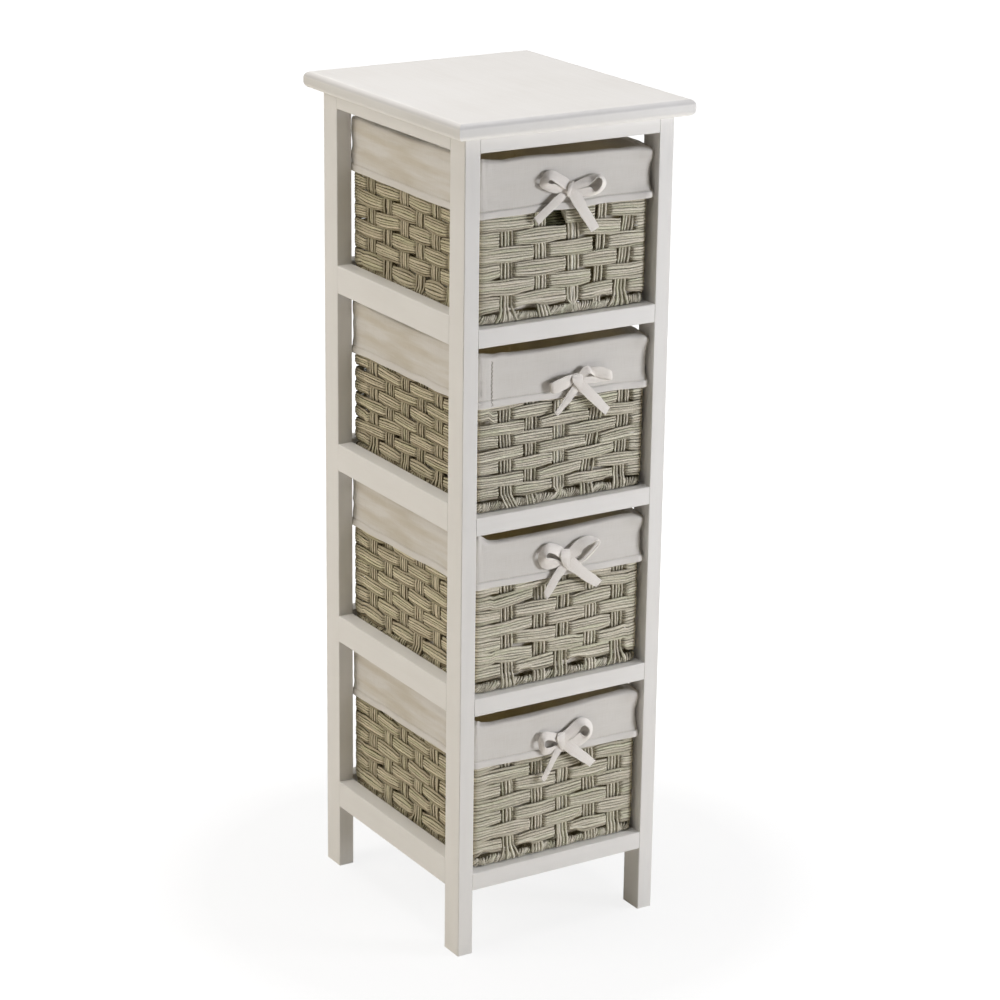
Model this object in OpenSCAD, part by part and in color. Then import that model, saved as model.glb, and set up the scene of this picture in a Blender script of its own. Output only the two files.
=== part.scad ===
// Bathroom storage tower: an open painted wood frame that holds four pull-out
// woven baskets with cloth liners. Millimetres, +Z up, front towards -Y,
// origin at the middle of the footprint on the floor.

/* [Tower] */
// Overall height, floor to top of board
tower_h = 815; // [700:1:950]
// Frame width across the posts
frame_w = 224; // [200:1:300]
// Frame depth across the posts
frame_d = 262; // [220:1:340]

/* [Top board] */
// Board thickness
top_t = 16; // [12:1:25]
// How far the board stands out past the frame on each side
top_overhang = 14; // [0:1:30]
// Radius of the rounded edge, top and bottom
top_edge_r = 6; // [1:0.5:7.5]

/* [Frame] */
// Post size seen from the front
post_w = 16; // [14:1:30]
// Post size seen from the side
post_d = 26; // [18:1:40]
// Small bevel on the long edges of posts and rails
edge_bevel = 0.6; // [0.2:0.1:2]

/* [Rails] */
// Clear height under the lowest rails
leg_clear = 66; // [40:1:120]
// Height of the front rails
front_rail_h = 17.5; // [12:0.5:30]
// Height of the side and back rails
side_rail_h = 27.5; // [18:0.5:40]
// Thickness of every rail
rail_t = 16; // [12:1:20]
// Clear height of each front opening
opening_h = 162; // [120:1:220]
// Runner strip width, out from the side rail
runner_w = 12; // [8:1:16]
// Runner strip height
runner_h = 10; // [6:1:14]

/* [Baskets] */
// Basket width over the weave
basket_w = 186; // [150:1:188]
// Basket depth over the weave
basket_d = 234; // [180:1:236]
// Basket height to the top of the weave rim
basket_h = 150; // [100:1:155]
// Weave wall thickness
weave_t = 6; // [4:0.5:9]
// Corner radius of the basket
basket_r = 10; // [9:1:40]
// Basket front set back from the frame front
basket_setback = 8; // [4:1:20]
// Gap under each basket, above its runners
rest_gap = 0.3; // [0.1:0.1:1]
// Wire diameter of the basket frame
wire_d = 4; // [3:0.5:5]
// Wire diameter of the uprights
upright_d = 3; // [2:0.5:4]

/* [Liner] */
// Cloth thickness of the liner, two layers
cloth_t = 1.2; // [0.8:0.1:2]
// Gap between cloth and weave
cloth_gap = 0.4; // [0.2:0.1:1]
// Height of the turned-down skirt
skirt_h = 54; // [30:1:80]

/* [Bows] */
// Ribbon width of the bows
ribbon_w = 10; // [5:0.5:12]
// Ribbon thickness
ribbon_t = 1.6; // [1:0.1:3]

/* [Fixings] */
// Dowel diameter
dowel_d = 6; // [5:1:8]
// Clearance of a dowel or screw in its hole, on the diameter
hole_clear = 0.1; // [0.04:0.02:0.3]

/* [Hidden] */
$fn = 64;
fw = frame_w / 2;
fd = frame_d / 2;
post_h = tower_h - top_t;
pitch = front_rail_h + opening_h;
// level 1 is the top basket, level 4 the bottom one
function rail_z(n) = leg_clear + (4 - n) * pitch;
top_rail_z = rail_z(1) + pitch;
top_rail_h = post_h - top_rail_z;
in_x = fw - post_w;
in_y = fd - post_d;
floor_up = front_rail_h + rest_gap;
basket_cy = -fd + basket_setback + basket_d / 2;
dowel_in_post_x = 11;
dowel_in_post_y = 12;
dowel_in_rail = 14;
front_dowel_z = [front_rail_h / 2];
tall_dowel_z = [7.5, side_rail_h - 7.5];
top_dowel_z = [top_rail_h / 2];
rim_gap = 0.3;
wall_top = basket_h - wire_d - rim_gap;
wall_bottom = wire_d + 0.6;
floor_t = 6;
paint = [0.86, 0.85, 0.83];
beech = [0.78, 0.66, 0.47];
steel = [0.62, 0.62, 0.64];
rope = [0.62, 0.59, 0.49];
cotton = [0.86, 0.84, 0.79];
bow_x = [2, 20, 8, 5];
bow_drop = [32, 37, 28, 35];
bow_left = [23, 19, 21, 24];
bow_right = [27, 21, 18, 22];
bow_left_tilt = [6, -4, 10, 2];
bow_right_tilt = [-6, 6, 24, 4];
tail_left_x = [-33, -24, -21, -18];
tail_right_x = [27, 26, 30, 31];
tail_left_z = [-30, -24, -34, -32];
tail_right_z = [-36, -28, -30, -28];

// ---- helpers ---------------------------------------------------------------

// rectangle with rounded corners
module rrect(w, d, r) {
    square([w - 2 * r, d], center = true);
    square([w, d - 2 * r], center = true);
    for (sx = [-1, 1], sy = [-1, 1])
        translate([sx * (w / 2 - r), sy * (d / 2 - r)]) circle(r);
}

// rectangle with small bevelled corners
module brect(w, h, b) {
    polygon([[-w / 2 + b, -h / 2], [w / 2 - b, -h / 2], [w / 2, -h / 2 + b],
             [w / 2, h / 2 - b], [w / 2 - b, h / 2], [-w / 2 + b, h / 2],
             [-w / 2, h / 2 - b], [-w / 2, -h / 2 + b]]);
}

// bar along X, Y or Z from a corner, with its long edges bevelled
module bar_x(x0, x1, y0, y1, z0, z1, b) {
    translate([x0, (y0 + y1) / 2, (z0 + z1) / 2]) rotate([90, 0, 90])
        linear_extrude(x1 - x0) brect(y1 - y0, z1 - z0, b);
}
module bar_y(x0, x1, y0, y1, z0, z1, b) {
    translate([(x0 + x1) / 2, y1, (z0 + z1) / 2]) rotate([90, 0, 0])
        linear_extrude(y1 - y0) brect(x1 - x0, z1 - z0, b);
}
module bar_z(x0, x1, y0, y1, z0, z1, b) {
    translate([(x0 + x1) / 2, (y0 + y1) / 2, z0])
        linear_extrude(z1 - z0) brect(x1 - x0, y1 - y0, b);
}

// one dowel, or the hole for it, along X or Y about a joint plane at 0
module pin_x(d, a, b) { translate([-a, 0, 0]) rotate([0, 90, 0]) cylinder(d = d, h = a + b); }
module pin_y(d, a, b) { translate([0, b, 0]) rotate([90, 0, 0]) cylinder(d = d, h = a + b); }

// heights of the dowels of the front rails, then of the back rails
function front_heights() = [for (n = [1:4]) rail_z(n) + front_dowel_z[0], top_rail_z + top_dowel_z[0]];
function tall_heights() = [for (n = [1:4]) for (z = tall_dowel_z) rail_z(n) + z, top_rail_z + top_dowel_z[0]];

module top_screw_shape(extra) {
    // countersunk screw, head down, shank up into the board
    rotate_extrude() polygon([[0, 0], [3.6 + extra, 0], [1.8 + extra, 2.2],
                              [1.8 + extra, 24 + extra], [0, 24 + extra]]);
}
module runner_screw_shape(extra) {
    rotate_extrude() polygon([[0, 0], [3.2 + extra, 0], [1.6 + extra, 2],
                              [1.6 + extra, 20 + extra], [0, 20 + extra]]);
}
screw_spots = [[-55, -fd + rail_t / 2], [55, -fd + rail_t / 2],
               [-55, fd - rail_t / 2], [55, fd - rail_t / 2],
               [-fw + rail_t / 2, -55], [-fw + rail_t / 2, 55],
               [fw - rail_t / 2, -55], [fw - rail_t / 2, 55]];
runner_screw_y = [-80, 80];

// ---- top board -------------------------------------------------------------

module edge_profile(w) {
    rrect(w, top_t, top_edge_r);
}
module top_board() {
    tw = frame_w + 2 * top_overhang;
    td = frame_d + 2 * top_overhang;
    color(paint) difference() {
        // rounded edges on all four sides, meeting in mitres
        intersection() {
            translate([0, td / 2, post_h + top_t / 2]) rotate([90, 0, 0])
                linear_extrude(td) edge_profile(tw);
            translate([-tw / 2, 0, post_h + top_t / 2]) rotate([90, 0, 90])
                linear_extrude(tw) edge_profile(td);
        }
        for (p = screw_spots)
            translate([p[0], p[1], top_rail_z]) top_screw_shape(hole_clear / 2);
    }
}

// ---- posts -----------------------------------------------------------------

module post(sx, sy) {
    x0 = sx < 0 ? -fw : fw - post_w;
    y0 = sy < 0 ? -fd : fd - post_d;
    color(paint) difference() {
        bar_z(x0, x0 + post_w, y0, y0 + post_d, 0, post_h, edge_bevel);
        // holes for the front or back rail dowels, along X
        for (z = (sy < 0 ? front_heights() : tall_heights()))
            translate([sx * in_x, sy * (fd - rail_t / 2), z])
                pin_x(dowel_d + hole_clear,
                      sx < 0 ? dowel_in_post_x + 0.5 : 1,
                      sx < 0 ? 1 : dowel_in_post_x + 0.5);
        // holes for the side rail dowels, along Y
        for (z = tall_heights())
            translate([sx * (fw - rail_t / 2), sy * in_y, z])
                pin_y(dowel_d + hole_clear,
                      sy < 0 ? dowel_in_post_y + 0.5 : 1,
                      sy < 0 ? 1 : dowel_in_post_y + 0.5);
    }
}
module post_front_left() { post(-1, -1); }
module post_front_right() { post(1, -1); }
module post_back_left() { post(-1, 1); }
module post_back_right() { post(1, 1); }

// ---- rails -----------------------------------------------------------------

// rail along X between two posts: front (sy -1) or back (sy 1)
module cross_rail(sy, z, h, zs, screws) {
    y0 = sy < 0 ? -fd : fd - rail_t;
    color(paint) difference() {
        bar_x(-in_x, in_x, y0, y0 + rail_t, z, z + h, edge_bevel);
        for (sx = [-1, 1], dz = zs)
            translate([sx * in_x, sy * (fd - rail_t / 2), z + dz])
                pin_x(dowel_d + hole_clear,
                      sx < 0 ? 1 : dowel_in_rail + 0.5,
                      sx < 0 ? dowel_in_rail + 0.5 : 1);
        if (screws)
            for (p = screw_spots)
                if (abs(p[1] - sy * (fd - rail_t / 2)) < 1)
                    translate([p[0], p[1], top_rail_z]) top_screw_shape(hole_clear / 2);
    }
}
// rail along Y between two posts: left (sx -1) or right (sx 1)
module side_rail(sx, z, h, zs, screws, runner) {
    x0 = sx < 0 ? -fw : fw - rail_t;
    color(paint) difference() {
        bar_y(x0, x0 + rail_t, -in_y, in_y, z, z + h, edge_bevel);
        for (sy = [-1, 1], dz = zs)
            translate([sx * (fw - rail_t / 2), sy * in_y, z + dz])
                pin_y(dowel_d + hole_clear,
                      sy < 0 ? 1 : dowel_in_rail + 0.5,
                      sy < 0 ? dowel_in_rail + 0.5 : 1);
        if (screws)
            for (p = screw_spots)
                if (abs(p[0] - sx * (fw - rail_t / 2)) < 1)
                    translate([p[0], p[1], top_rail_z]) top_screw_shape(hole_clear / 2);
        if (runner)
            for (y = runner_screw_y) runner_screw_at(sx, y, z, hole_clear / 2);
    }
}
module rail_front_top() { cross_rail(-1, top_rail_z, top_rail_h, top_dowel_z, true); }
module rail_back_top() { cross_rail(1, top_rail_z, top_rail_h, top_dowel_z, true); }
module rail_left_top() { side_rail(-1, top_rail_z, top_rail_h, top_dowel_z, true, false); }
module rail_right_top() { side_rail(1, top_rail_z, top_rail_h, top_dowel_z, true, false); }
module rail_front(n) { cross_rail(-1, rail_z(n), front_rail_h, front_dowel_z, false); }
module rail_back(n) { cross_rail(1, rail_z(n), side_rail_h, tall_dowel_z, false); }
module rail_left(n) { side_rail(-1, rail_z(n), side_rail_h, tall_dowel_z, false, true); }
module rail_right(n) { side_rail(1, rail_z(n), side_rail_h, tall_dowel_z, false, true); }

// ---- runners under the baskets --------------------------------------------

module runner_screw_at(sx, y, z, extra) {
    // head flush in the runner's inner face, shank out into the side rail
    translate([sx * (in_x - runner_w), y, z + front_rail_h - runner_h / 2])
        rotate([0, sx < 0 ? -90 : 90, 0]) runner_screw_shape(extra);
}
module runner(sx, n) {
    z1 = rail_z(n) + front_rail_h;
    x0 = sx < 0 ? -in_x : in_x - runner_w;
    color(paint) difference() {
        bar_y(x0, x0 + runner_w, -fd + rail_t, fd - rail_t, z1 - runner_h, z1, edge_bevel);
        for (y = runner_screw_y) runner_screw_at(sx, y, rail_z(n), hole_clear / 2);
    }
}

// ---- fixings ---------------------------------------------------------------

module dowels_front() {
    color(beech) for (sx = [-1, 1], z = front_heights())
        translate([sx * in_x, -fd + rail_t / 2, z])
            pin_x(dowel_d, sx < 0 ? dowel_in_post_x : dowel_in_rail,
                  sx < 0 ? dowel_in_rail : dowel_in_post_x);
}
module dowels_back() {
    color(beech) for (sx = [-1, 1], z = tall_heights())
        translate([sx * in_x, fd - rail_t / 2, z])
            pin_x(dowel_d, sx < 0 ? dowel_in_post_x : dowel_in_rail,
                  sx < 0 ? dowel_in_rail : dowel_in_post_x);
}
module dowels_side(sx) {
    color(beech) for (sy = [-1, 1], z = tall_heights())
        translate([sx * (fw - rail_t / 2), sy * in_y, z])
            pin_y(dowel_d, sy < 0 ? dowel_in_post_y : dowel_in_rail,
                  sy < 0 ? dowel_in_rail : dowel_in_post_y);
}
module dowels_left() { dowels_side(-1); }
module dowels_right() { dowels_side(1); }
module top_screws() {
    color(steel) for (p = screw_spots)
        translate([p[0], p[1], top_rail_z]) top_screw_shape(0);
}
module runner_screws() {
    color(steel) for (sx = [-1, 1], n = [1:4], y = runner_screw_y)
        runner_screw_at(sx, y, rail_z(n), 0);
}

// ---- baskets ---------------------------------------------------------------

// places children in basket n's own frame: middle of the basket, underside at 0
module at_basket(n) {
    translate([0, basket_cy, rail_z(n) + floor_up]) children();
}
upright_spots = [[0, basket_d / 2 - weave_t / 2], [0, -basket_d / 2 + weave_t / 2],
                 [basket_w / 2 - weave_t / 2, 0], [-basket_w / 2 + weave_t / 2, 0],
                 [basket_w / 2 - basket_r, basket_d / 2 - weave_t / 2],
                 [-basket_w / 2 + basket_r, basket_d / 2 - weave_t / 2],
                 [basket_w / 2 - basket_r, -basket_d / 2 + weave_t / 2],
                 [-basket_w / 2 + basket_r, -basket_d / 2 + weave_t / 2]];

module basket_weave(n) {
    iw = basket_w - 2 * weave_t;
    id = basket_d - 2 * weave_t;
    color(rope) at_basket(n) difference() {
        union() {
            // walls
            translate([0, 0, wall_bottom]) linear_extrude(wall_top - wall_bottom) difference() {
                rrect(basket_w, basket_d, basket_r);
                rrect(iw, id, basket_r - weave_t);
            }
            // woven floor
            linear_extrude(floor_t) rrect(iw + 1, id + 1, basket_r - weave_t + 0.5);
        }
        // channels for the wire uprights
        for (p = upright_spots)
            translate([p[0], p[1], 1]) cylinder(d = upright_d + 0.3, h = basket_h);
    }
}

module wire_ring(z) {
    w = basket_w - weave_t;
    d = basket_d - weave_t;
    r = basket_r - weave_t / 2;
    translate([0, 0, z]) {
        for (s = [-1, 1]) {
            translate([-(w / 2 - r), s * d / 2, 0]) rotate([0, 90, 0]) cylinder(d = wire_d, h = w - 2 * r);
            translate([s * w / 2, d / 2 - r, 0]) rotate([90, 0, 0]) cylinder(d = wire_d, h = d - 2 * r);
        }
        for (i = [0:3]) {
            sx = (i == 0 || i == 3) ? 1 : -1;
            sy = i < 2 ? 1 : -1;
            translate([sx * (w / 2 - r), sy * (d / 2 - r), 0]) rotate([0, 0, i * 90])
                rotate_extrude(angle = 90) translate([r, 0]) circle(d = wire_d);
        }
    }
}
module basket_wire_frame(n) {
    z0 = wire_d / 2 + 0.2;
    z1 = basket_h - wire_d / 2;
    color(steel) at_basket(n) {
        wire_ring(z0);
        wire_ring(z1);
        for (p = upright_spots) translate([p[0], p[1], z0]) cylinder(d = upright_d, h = z1 - z0);
    }
}

module basket_liner(n) {
    // inner cloth hangs inside the weave, turns over the rim and hangs outside
    iw = basket_w - 2 * weave_t - 2 * cloth_gap;
    id = basket_d - 2 * weave_t - 2 * cloth_gap;
    ir = basket_r - weave_t - cloth_gap;
    ow = basket_w + 2 * cloth_gap;
    od = basket_d + 2 * cloth_gap;
    orr = basket_r + cloth_gap;
    zf = floor_t + cloth_gap;
    zr = basket_h + cloth_gap;
    color(cotton) at_basket(n) {
        // floor of the liner
        translate([0, 0, zf]) linear_extrude(cloth_t) rrect(iw, id, ir);
        // inner wall
        translate([0, 0, zf]) linear_extrude(zr + cloth_t - zf) difference() {
            rrect(iw, id, ir);
            rrect(iw - 2 * cloth_t, id - 2 * cloth_t, ir - cloth_t);
        }
        // fold over the rim
        translate([0, 0, zr]) linear_extrude(cloth_t) difference() {
            rrect(ow + 2 * cloth_t, od + 2 * cloth_t, orr + cloth_t);
            rrect(iw - 2 * cloth_t, id - 2 * cloth_t, ir - cloth_t);
        }
        // skirt outside the weave
        translate([0, 0, zr + cloth_t - skirt_h]) linear_extrude(skirt_h) difference() {
            rrect(ow + 2 * cloth_t, od + 2 * cloth_t, orr + cloth_t);
            rrect(ow, od, orr);
        }
    }
}

// ribbon loop lying out to +X, as a closed band with a blunt end
module bow_loop(len, tall) {
    difference() {
        polygon([[0, -3], [len * 0.55, -tall / 2], [len * 0.85, -tall / 2 + 1],
                 [len, -tall / 5], [len, tall / 5], [len * 0.85, tall / 2 - 1],
                 [len * 0.55, tall / 2], [0, 3]]);
        polygon([[6, -1.6], [len * 0.56, -tall / 2 + ribbon_t], [len * 0.82, -tall / 2 + 1 + ribbon_t],
                 [len - ribbon_t, -tall / 5 + 0.5], [len - ribbon_t, tall / 5 - 0.5],
                 [len * 0.82, tall / 2 - 1 - ribbon_t], [len * 0.56, tall / 2 - ribbon_t], [6, 1.6]]);
    }
}
// flat ribbon end from the knot towards a point
module bow_tail(x, z) {
    rotate([0, 0, atan2(z, x)]) translate([0, -ribbon_w * 0.3])
        square([sqrt(x * x + z * z), ribbon_w * 0.6]);
}
module basket_bow(n) {
    i = n - 1;
    front = -basket_d / 2 - cloth_gap - cloth_t;
    color(cotton) at_basket(n)
        translate([bow_x[i], front - 0.4, basket_h - bow_drop[i]]) rotate([90, 0, 0]) {
            translate([0, 0, 0.6]) linear_extrude(ribbon_w - 2.2)
                rotate([0, 0, 180 - bow_left_tilt[i]]) bow_loop(bow_left[i], 15);
            translate([0, 0, 0.7]) linear_extrude(ribbon_w - 2.4)
                rotate([0, 0, bow_right_tilt[i]]) bow_loop(bow_right[i], 14);
            translate([0, 0, 0.2]) linear_extrude(1.9) bow_tail(tail_left_x[i], tail_left_z[i]);
            translate([0, 0, 0.3]) linear_extrude(1.9) bow_tail(tail_right_x[i], tail_right_z[i]);
            linear_extrude(ribbon_w - 1) rrect(9.4, 9.4, 2.5);
        }
}

top_board();
post_front_left();
post_front_right();
post_back_left();
post_back_right();
rail_front_top();
rail_back_top();
rail_left_top();
rail_right_top();
rail_front(1);  // rail_front_1
rail_front(2);  // rail_front_2
rail_front(3);  // rail_front_3
rail_front(4);  // rail_front_4
rail_back(1);  // rail_back_1
rail_back(2);  // rail_back_2
rail_back(3);  // rail_back_3
rail_back(4);  // rail_back_4
rail_left(1);  // rail_left_1
rail_left(2);  // rail_left_2
rail_left(3);  // rail_left_3
rail_left(4);  // rail_left_4
rail_right(1);  // rail_right_1
rail_right(2);  // rail_right_2
rail_right(3);  // rail_right_3
rail_right(4);  // rail_right_4
runner(-1, 1);  // runner_left_1
runner(-1, 2);  // runner_left_2
runner(-1, 3);  // runner_left_3
runner(-1, 4);  // runner_left_4
runner(1, 1);  // runner_right_1
runner(1, 2);  // runner_right_2
runner(1, 3);  // runner_right_3
runner(1, 4);  // runner_right_4
dowels_front();
dowels_back();
dowels_left();
dowels_right();
top_screws();
runner_screws();
basket_weave(1);  // basket_1_weave
basket_wire_frame(1);  // basket_1_wire_frame
basket_liner(1);  // basket_1_liner
basket_bow(1);  // basket_1_bow
basket_weave(2);  // basket_2_weave
basket_wire_frame(2);  // basket_2_wire_frame
basket_liner(2);  // basket_2_liner
basket_bow(2);  // basket_2_bow
basket_weave(3);  // basket_3_weave
basket_wire_frame(3);  // basket_3_wire_frame
basket_liner(3);  // basket_3_liner
basket_bow(3);  // basket_3_bow
basket_weave(4);  // basket_4_weave
basket_wire_frame(4);  // basket_4_wire_frame
basket_liner(4);  // basket_4_liner
basket_bow(4);  // basket_4_bow
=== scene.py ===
"""Looks of the bathroom storage tower: painted timber frame, four woven paper-rope baskets, cotton liners and tied ribbons.
Metres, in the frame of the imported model: front towards -Y, left towards -X, floor at z = 0."""
import math

import bpy
import numpy as np
from mathutils import Matrix, Vector


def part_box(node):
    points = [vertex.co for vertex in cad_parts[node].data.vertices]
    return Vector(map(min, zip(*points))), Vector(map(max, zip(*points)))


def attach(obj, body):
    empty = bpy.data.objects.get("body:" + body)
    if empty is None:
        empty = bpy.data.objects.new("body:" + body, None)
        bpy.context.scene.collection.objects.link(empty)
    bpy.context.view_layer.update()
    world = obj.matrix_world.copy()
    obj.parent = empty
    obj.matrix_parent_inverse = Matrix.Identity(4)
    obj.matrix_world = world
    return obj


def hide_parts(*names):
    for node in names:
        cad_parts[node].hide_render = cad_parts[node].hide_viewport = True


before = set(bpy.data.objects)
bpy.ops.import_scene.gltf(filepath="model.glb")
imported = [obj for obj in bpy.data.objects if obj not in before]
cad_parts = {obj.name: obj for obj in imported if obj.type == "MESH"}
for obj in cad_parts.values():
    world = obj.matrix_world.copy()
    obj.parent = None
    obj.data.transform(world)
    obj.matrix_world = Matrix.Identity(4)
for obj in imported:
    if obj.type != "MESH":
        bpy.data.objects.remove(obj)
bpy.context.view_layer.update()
MM = 0.001
scene = bpy.context.scene

# ---------------------------------------------------------------- camera
AZ, EL, ROLL = -0.554661, 0.322250, 0.0130775
TARGET, DIST, FOCAL = Vector((-0.218222, -0.368384, 0.550085)), 2.561234, 3.095646


def make_camera():
    back = Vector((math.sin(AZ) * math.cos(EL), -math.cos(AZ) * math.cos(EL), math.sin(EL)))
    right = Vector((0, 0, 1)).cross(back).normalized()
    up = back.cross(right)
    r = right * math.cos(ROLL) + up * math.sin(ROLL)
    u = -right * math.sin(ROLL) + up * math.cos(ROLL)
    m = Matrix((r, u, back)).transposed().to_4x4()
    m.translation = TARGET + back * DIST
    data = bpy.data.cameras.new("camera")
    data.sensor_width = 36.0
    data.lens = 36.0 * FOCAL
    data.clip_start, data.clip_end = 0.05, 50
    cam = bpy.data.objects.new("camera", data)
    scene.collection.objects.link(cam)
    cam.matrix_world = m
    scene.camera = cam
    return cam


make_camera()


# ---------------------------------------------------------------- node helpers
def new_material(name):
    m = bpy.data.materials.new(name)
    m.use_nodes = True
    t = m.node_tree
    t.nodes.clear()
    out = t.nodes.new("ShaderNodeOutputMaterial")
    b = t.nodes.new("ShaderNodeBsdfPrincipled")
    t.links.new(b.outputs["BSDF"], out.inputs["Surface"])
    return m, t, b


class Net:
    """Short names for building node trees."""

    def __init__(self, tree):
        self.t = tree

    def node(self, kind, **props):
        n = self.t.nodes.new(kind)
        for k, v in props.items():
            setattr(n, k, v)
        return n

    def put(self, socket, value):
        if hasattr(value, "is_output") or isinstance(value, bpy.types.NodeSocket):
            self.t.links.new(value, socket)
        else:
            socket.default_value = value

    def math(self, op, a, b=0.0, c=0.0):
        n = self.node("ShaderNodeMath", operation=op)
        self.put(n.inputs[0], a)
        self.put(n.inputs[1], b)
        if len(n.inputs) > 2:
            self.put(n.inputs[2], c)
        return n.outputs[0]

    def noise(self, vec, scale, detail=3.0, rough=0.55, distortion=0.0, dims="3D"):
        n = self.node("ShaderNodeTexNoise", noise_dimensions=dims)
        self.put(n.inputs["Vector"], vec)
        n.inputs["Scale"].default_value = scale
        n.inputs["Detail"].default_value = detail
        n.inputs["Roughness"].default_value = rough
        n.inputs["Distortion"].default_value = distortion
        return n.outputs["Fac"]

    def voronoi(self, vec, scale, feature="F1"):
        n = self.node("ShaderNodeTexVoronoi", feature=feature)
        self.put(n.inputs["Vector"], vec)
        n.inputs["Scale"].default_value = scale
        return n.outputs["Distance"]

    def scale(self, vec, xyz):
        n = self.node("ShaderNodeVectorMath", operation="MULTIPLY")
        self.put(n.inputs[0], vec)
        n.inputs[1].default_value = xyz
        return n.outputs[0]

    def add(self, a, b):
        n = self.node("ShaderNodeVectorMath", operation="ADD")
        self.put(n.inputs[0], a)
        self.put(n.inputs[1], b)
        return n.outputs[0]

    def ramp(self, fac, stops):
        n = self.node("ShaderNodeValToRGB")
        el = n.color_ramp.elements
        while len(el) < len(stops):
            el.new(0.5)
        for e, (pos, col) in zip(el, stops):
            e.position = pos
            e.color = (*col, 1.0) if len(col) == 3 else col
        self.put(n.inputs[0], fac)
        return n.outputs["Color"]

    def mix(self, fac, a, b, blend="MIX"):
        n = self.node("ShaderNodeMix", data_type="RGBA", blend_type=blend)
        self.put(n.inputs[0], fac)
        self.put(n.inputs[6], a if not isinstance(a, tuple) or len(a) == 4 else (*a, 1.0))
        self.put(n.inputs[7], b if not isinstance(b, tuple) or len(b) == 4 else (*b, 1.0))
        return n.outputs[2]

    def range(self, v, a, b, c, d):
        n = self.node("ShaderNodeMapRange")
        self.put(n.inputs["Value"], v)
        for k, x in zip(("From Min", "From Max", "To Min", "To Max"), (a, b, c, d)):
            n.inputs[k].default_value = x
        return n.outputs["Result"]

    def bump(self, height, distance, strength=1.0, normal=None):
        n = self.node("ShaderNodeBump")
        n.inputs["Strength"].default_value = strength
        n.inputs["Distance"].default_value = distance
        self.put(n.inputs["Height"], height)
        if normal is not None:
            self.put(n.inputs["Normal"], normal)
        return n.outputs["Normal"]

    def attribute(self, name, out="Vector"):
        n = self.node("ShaderNodeAttribute", attribute_type="GEOMETRY", attribute_name=name)
        return n.outputs[out]

    def split(self, vec):
        n = self.node("ShaderNodeSeparateXYZ")
        self.put(n.inputs[0], vec)
        return n.outputs


# ---------------------------------------------------------------- materials
def painted_wood(name, along, board_shading=False):
    """Satin white paint brushed along one axis of the piece, with the grain faintly telegraphing through. The last
    argument adds, as on the top board, painted shade on the upper rounded edges and the end faces, and a faint painted
    glow on the rounding underneath."""
    m, t, b = new_material(name)
    n = Net(t)
    pos = n.node("ShaderNodeTexCoord").outputs["Object"]
    stretch = {"x": (0.07, 1, 1), "y": (1, 0.07, 1), "z": (1, 1, 0.07)}[along]
    vec = n.scale(pos, stretch)
    brush = n.noise(vec, 900, 4, 0.6)
    grain = n.noise(vec, 120, 5, 0.62, 0.6)
    cloud = n.noise(pos, 9, 3, 0.5)
    speck = n.noise(pos, 2600, 2, 0.5)
    tone = n.math("ADD", n.math("MULTIPLY", grain, 0.45), n.math("MULTIPLY", cloud, 0.55))
    col = n.ramp(tone, [(0.30, (0.770, 0.757, 0.735)), (0.50, (0.800, 0.790, 0.772)), (0.72, (0.822, 0.815, 0.802))])
    # painted highlight: convex edges and corners are toned faintly lighter
    geo = n.node("ShaderNodeNewGeometry")
    edge = n.range(geo.outputs["Pointiness"], 0.53, 0.62, 0.0, 1.0)
    col = n.mix(n.math("MULTIPLY", edge, 0.22), col, (0.86, 0.85, 0.83))
    if board_shading:
        nx, ny, nz = n.split(geo.outputs["Normal"])
        # painted shade: the upper rounded edge is darkened so it catches no highlight, and the end faces are darkened a
        # little
        painted_shade_lip = n.math("MULTIPLY", n.range(nz, 0.10, 0.35, 0.0, 1.0), n.range(nz, 0.86, 0.985, 1.0, 0.0))
        col = n.mix(painted_shade_lip, col, (0.79, 0.79, 0.80), "MULTIPLY")
        col = n.mix(n.range(n.math("ABSOLUTE", nx), 0.5, 0.9, 0.0, 1.0), col, (0.90, 0.90, 0.90), "MULTIPLY")
        # painted light: a faint glow lifts the rounding underneath out of its shadow
        painted_glow_below = n.math("MULTIPLY", n.range(nz, -0.6, -0.15, 1.0, 0.0), n.range(nz, -0.995, -0.97, 0.0, 1.0))
        b.inputs["Emission Color"].default_value = (1.0, 0.985, 0.95, 1)
        n.put(b.inputs["Emission Strength"], n.math("MULTIPLY", painted_glow_below, 0.11))
    n.put(b.inputs["Base Color"], col)
    n.put(b.inputs["Roughness"], n.range(brush, 0.3, 0.7, 0.40, 0.54))
    h = n.math("ADD", n.math("MULTIPLY", brush, 0.5), n.math("ADD", n.math("MULTIPLY", grain, 1.3), n.math("MULTIPLY", speck, 0.12)))
    n.put(b.inputs["Normal"], n.bump(h, 0.00022, 0.55))
    b.inputs["Specular IOR Level"].default_value = 0.42
    return m


def raw_wood(name):
    m, t, b = new_material(name)
    n = Net(t)
    pos = n.node("ShaderNodeTexCoord").outputs["Object"]
    g = n.noise(n.scale(pos, (0.2, 0.2, 1)), 700, 5, 0.6, 1.0)
    n.put(b.inputs["Base Color"], n.ramp(g, [(0.3, (0.42, 0.29, 0.16)), (0.6, (0.62, 0.46, 0.29)), (0.8, (0.72, 0.57, 0.38))]))
    b.inputs["Roughness"].default_value = 0.6
    n.put(b.inputs["Normal"], n.bump(g, 0.0002, 0.5))
    return m


def zinc(name, tint=(0.55, 0.54, 0.52)):
    m, t, b = new_material(name)
    n = Net(t)
    pos = n.node("ShaderNodeTexCoord").outputs["Object"]
    s = n.noise(pos, 900, 3, 0.6)
    n.put(b.inputs["Base Color"], n.mix(n.range(s, 0.35, 0.7, 0, 1), tuple(c * 0.8 for c in tint), tint))
    b.inputs["Metallic"].default_value = 1.0
    n.put(b.inputs["Roughness"], n.range(s, 0.3, 0.7, 0.32, 0.5))
    n.put(b.inputs["Normal"], n.bump(s, 0.0001, 0.3))
    return m


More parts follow.
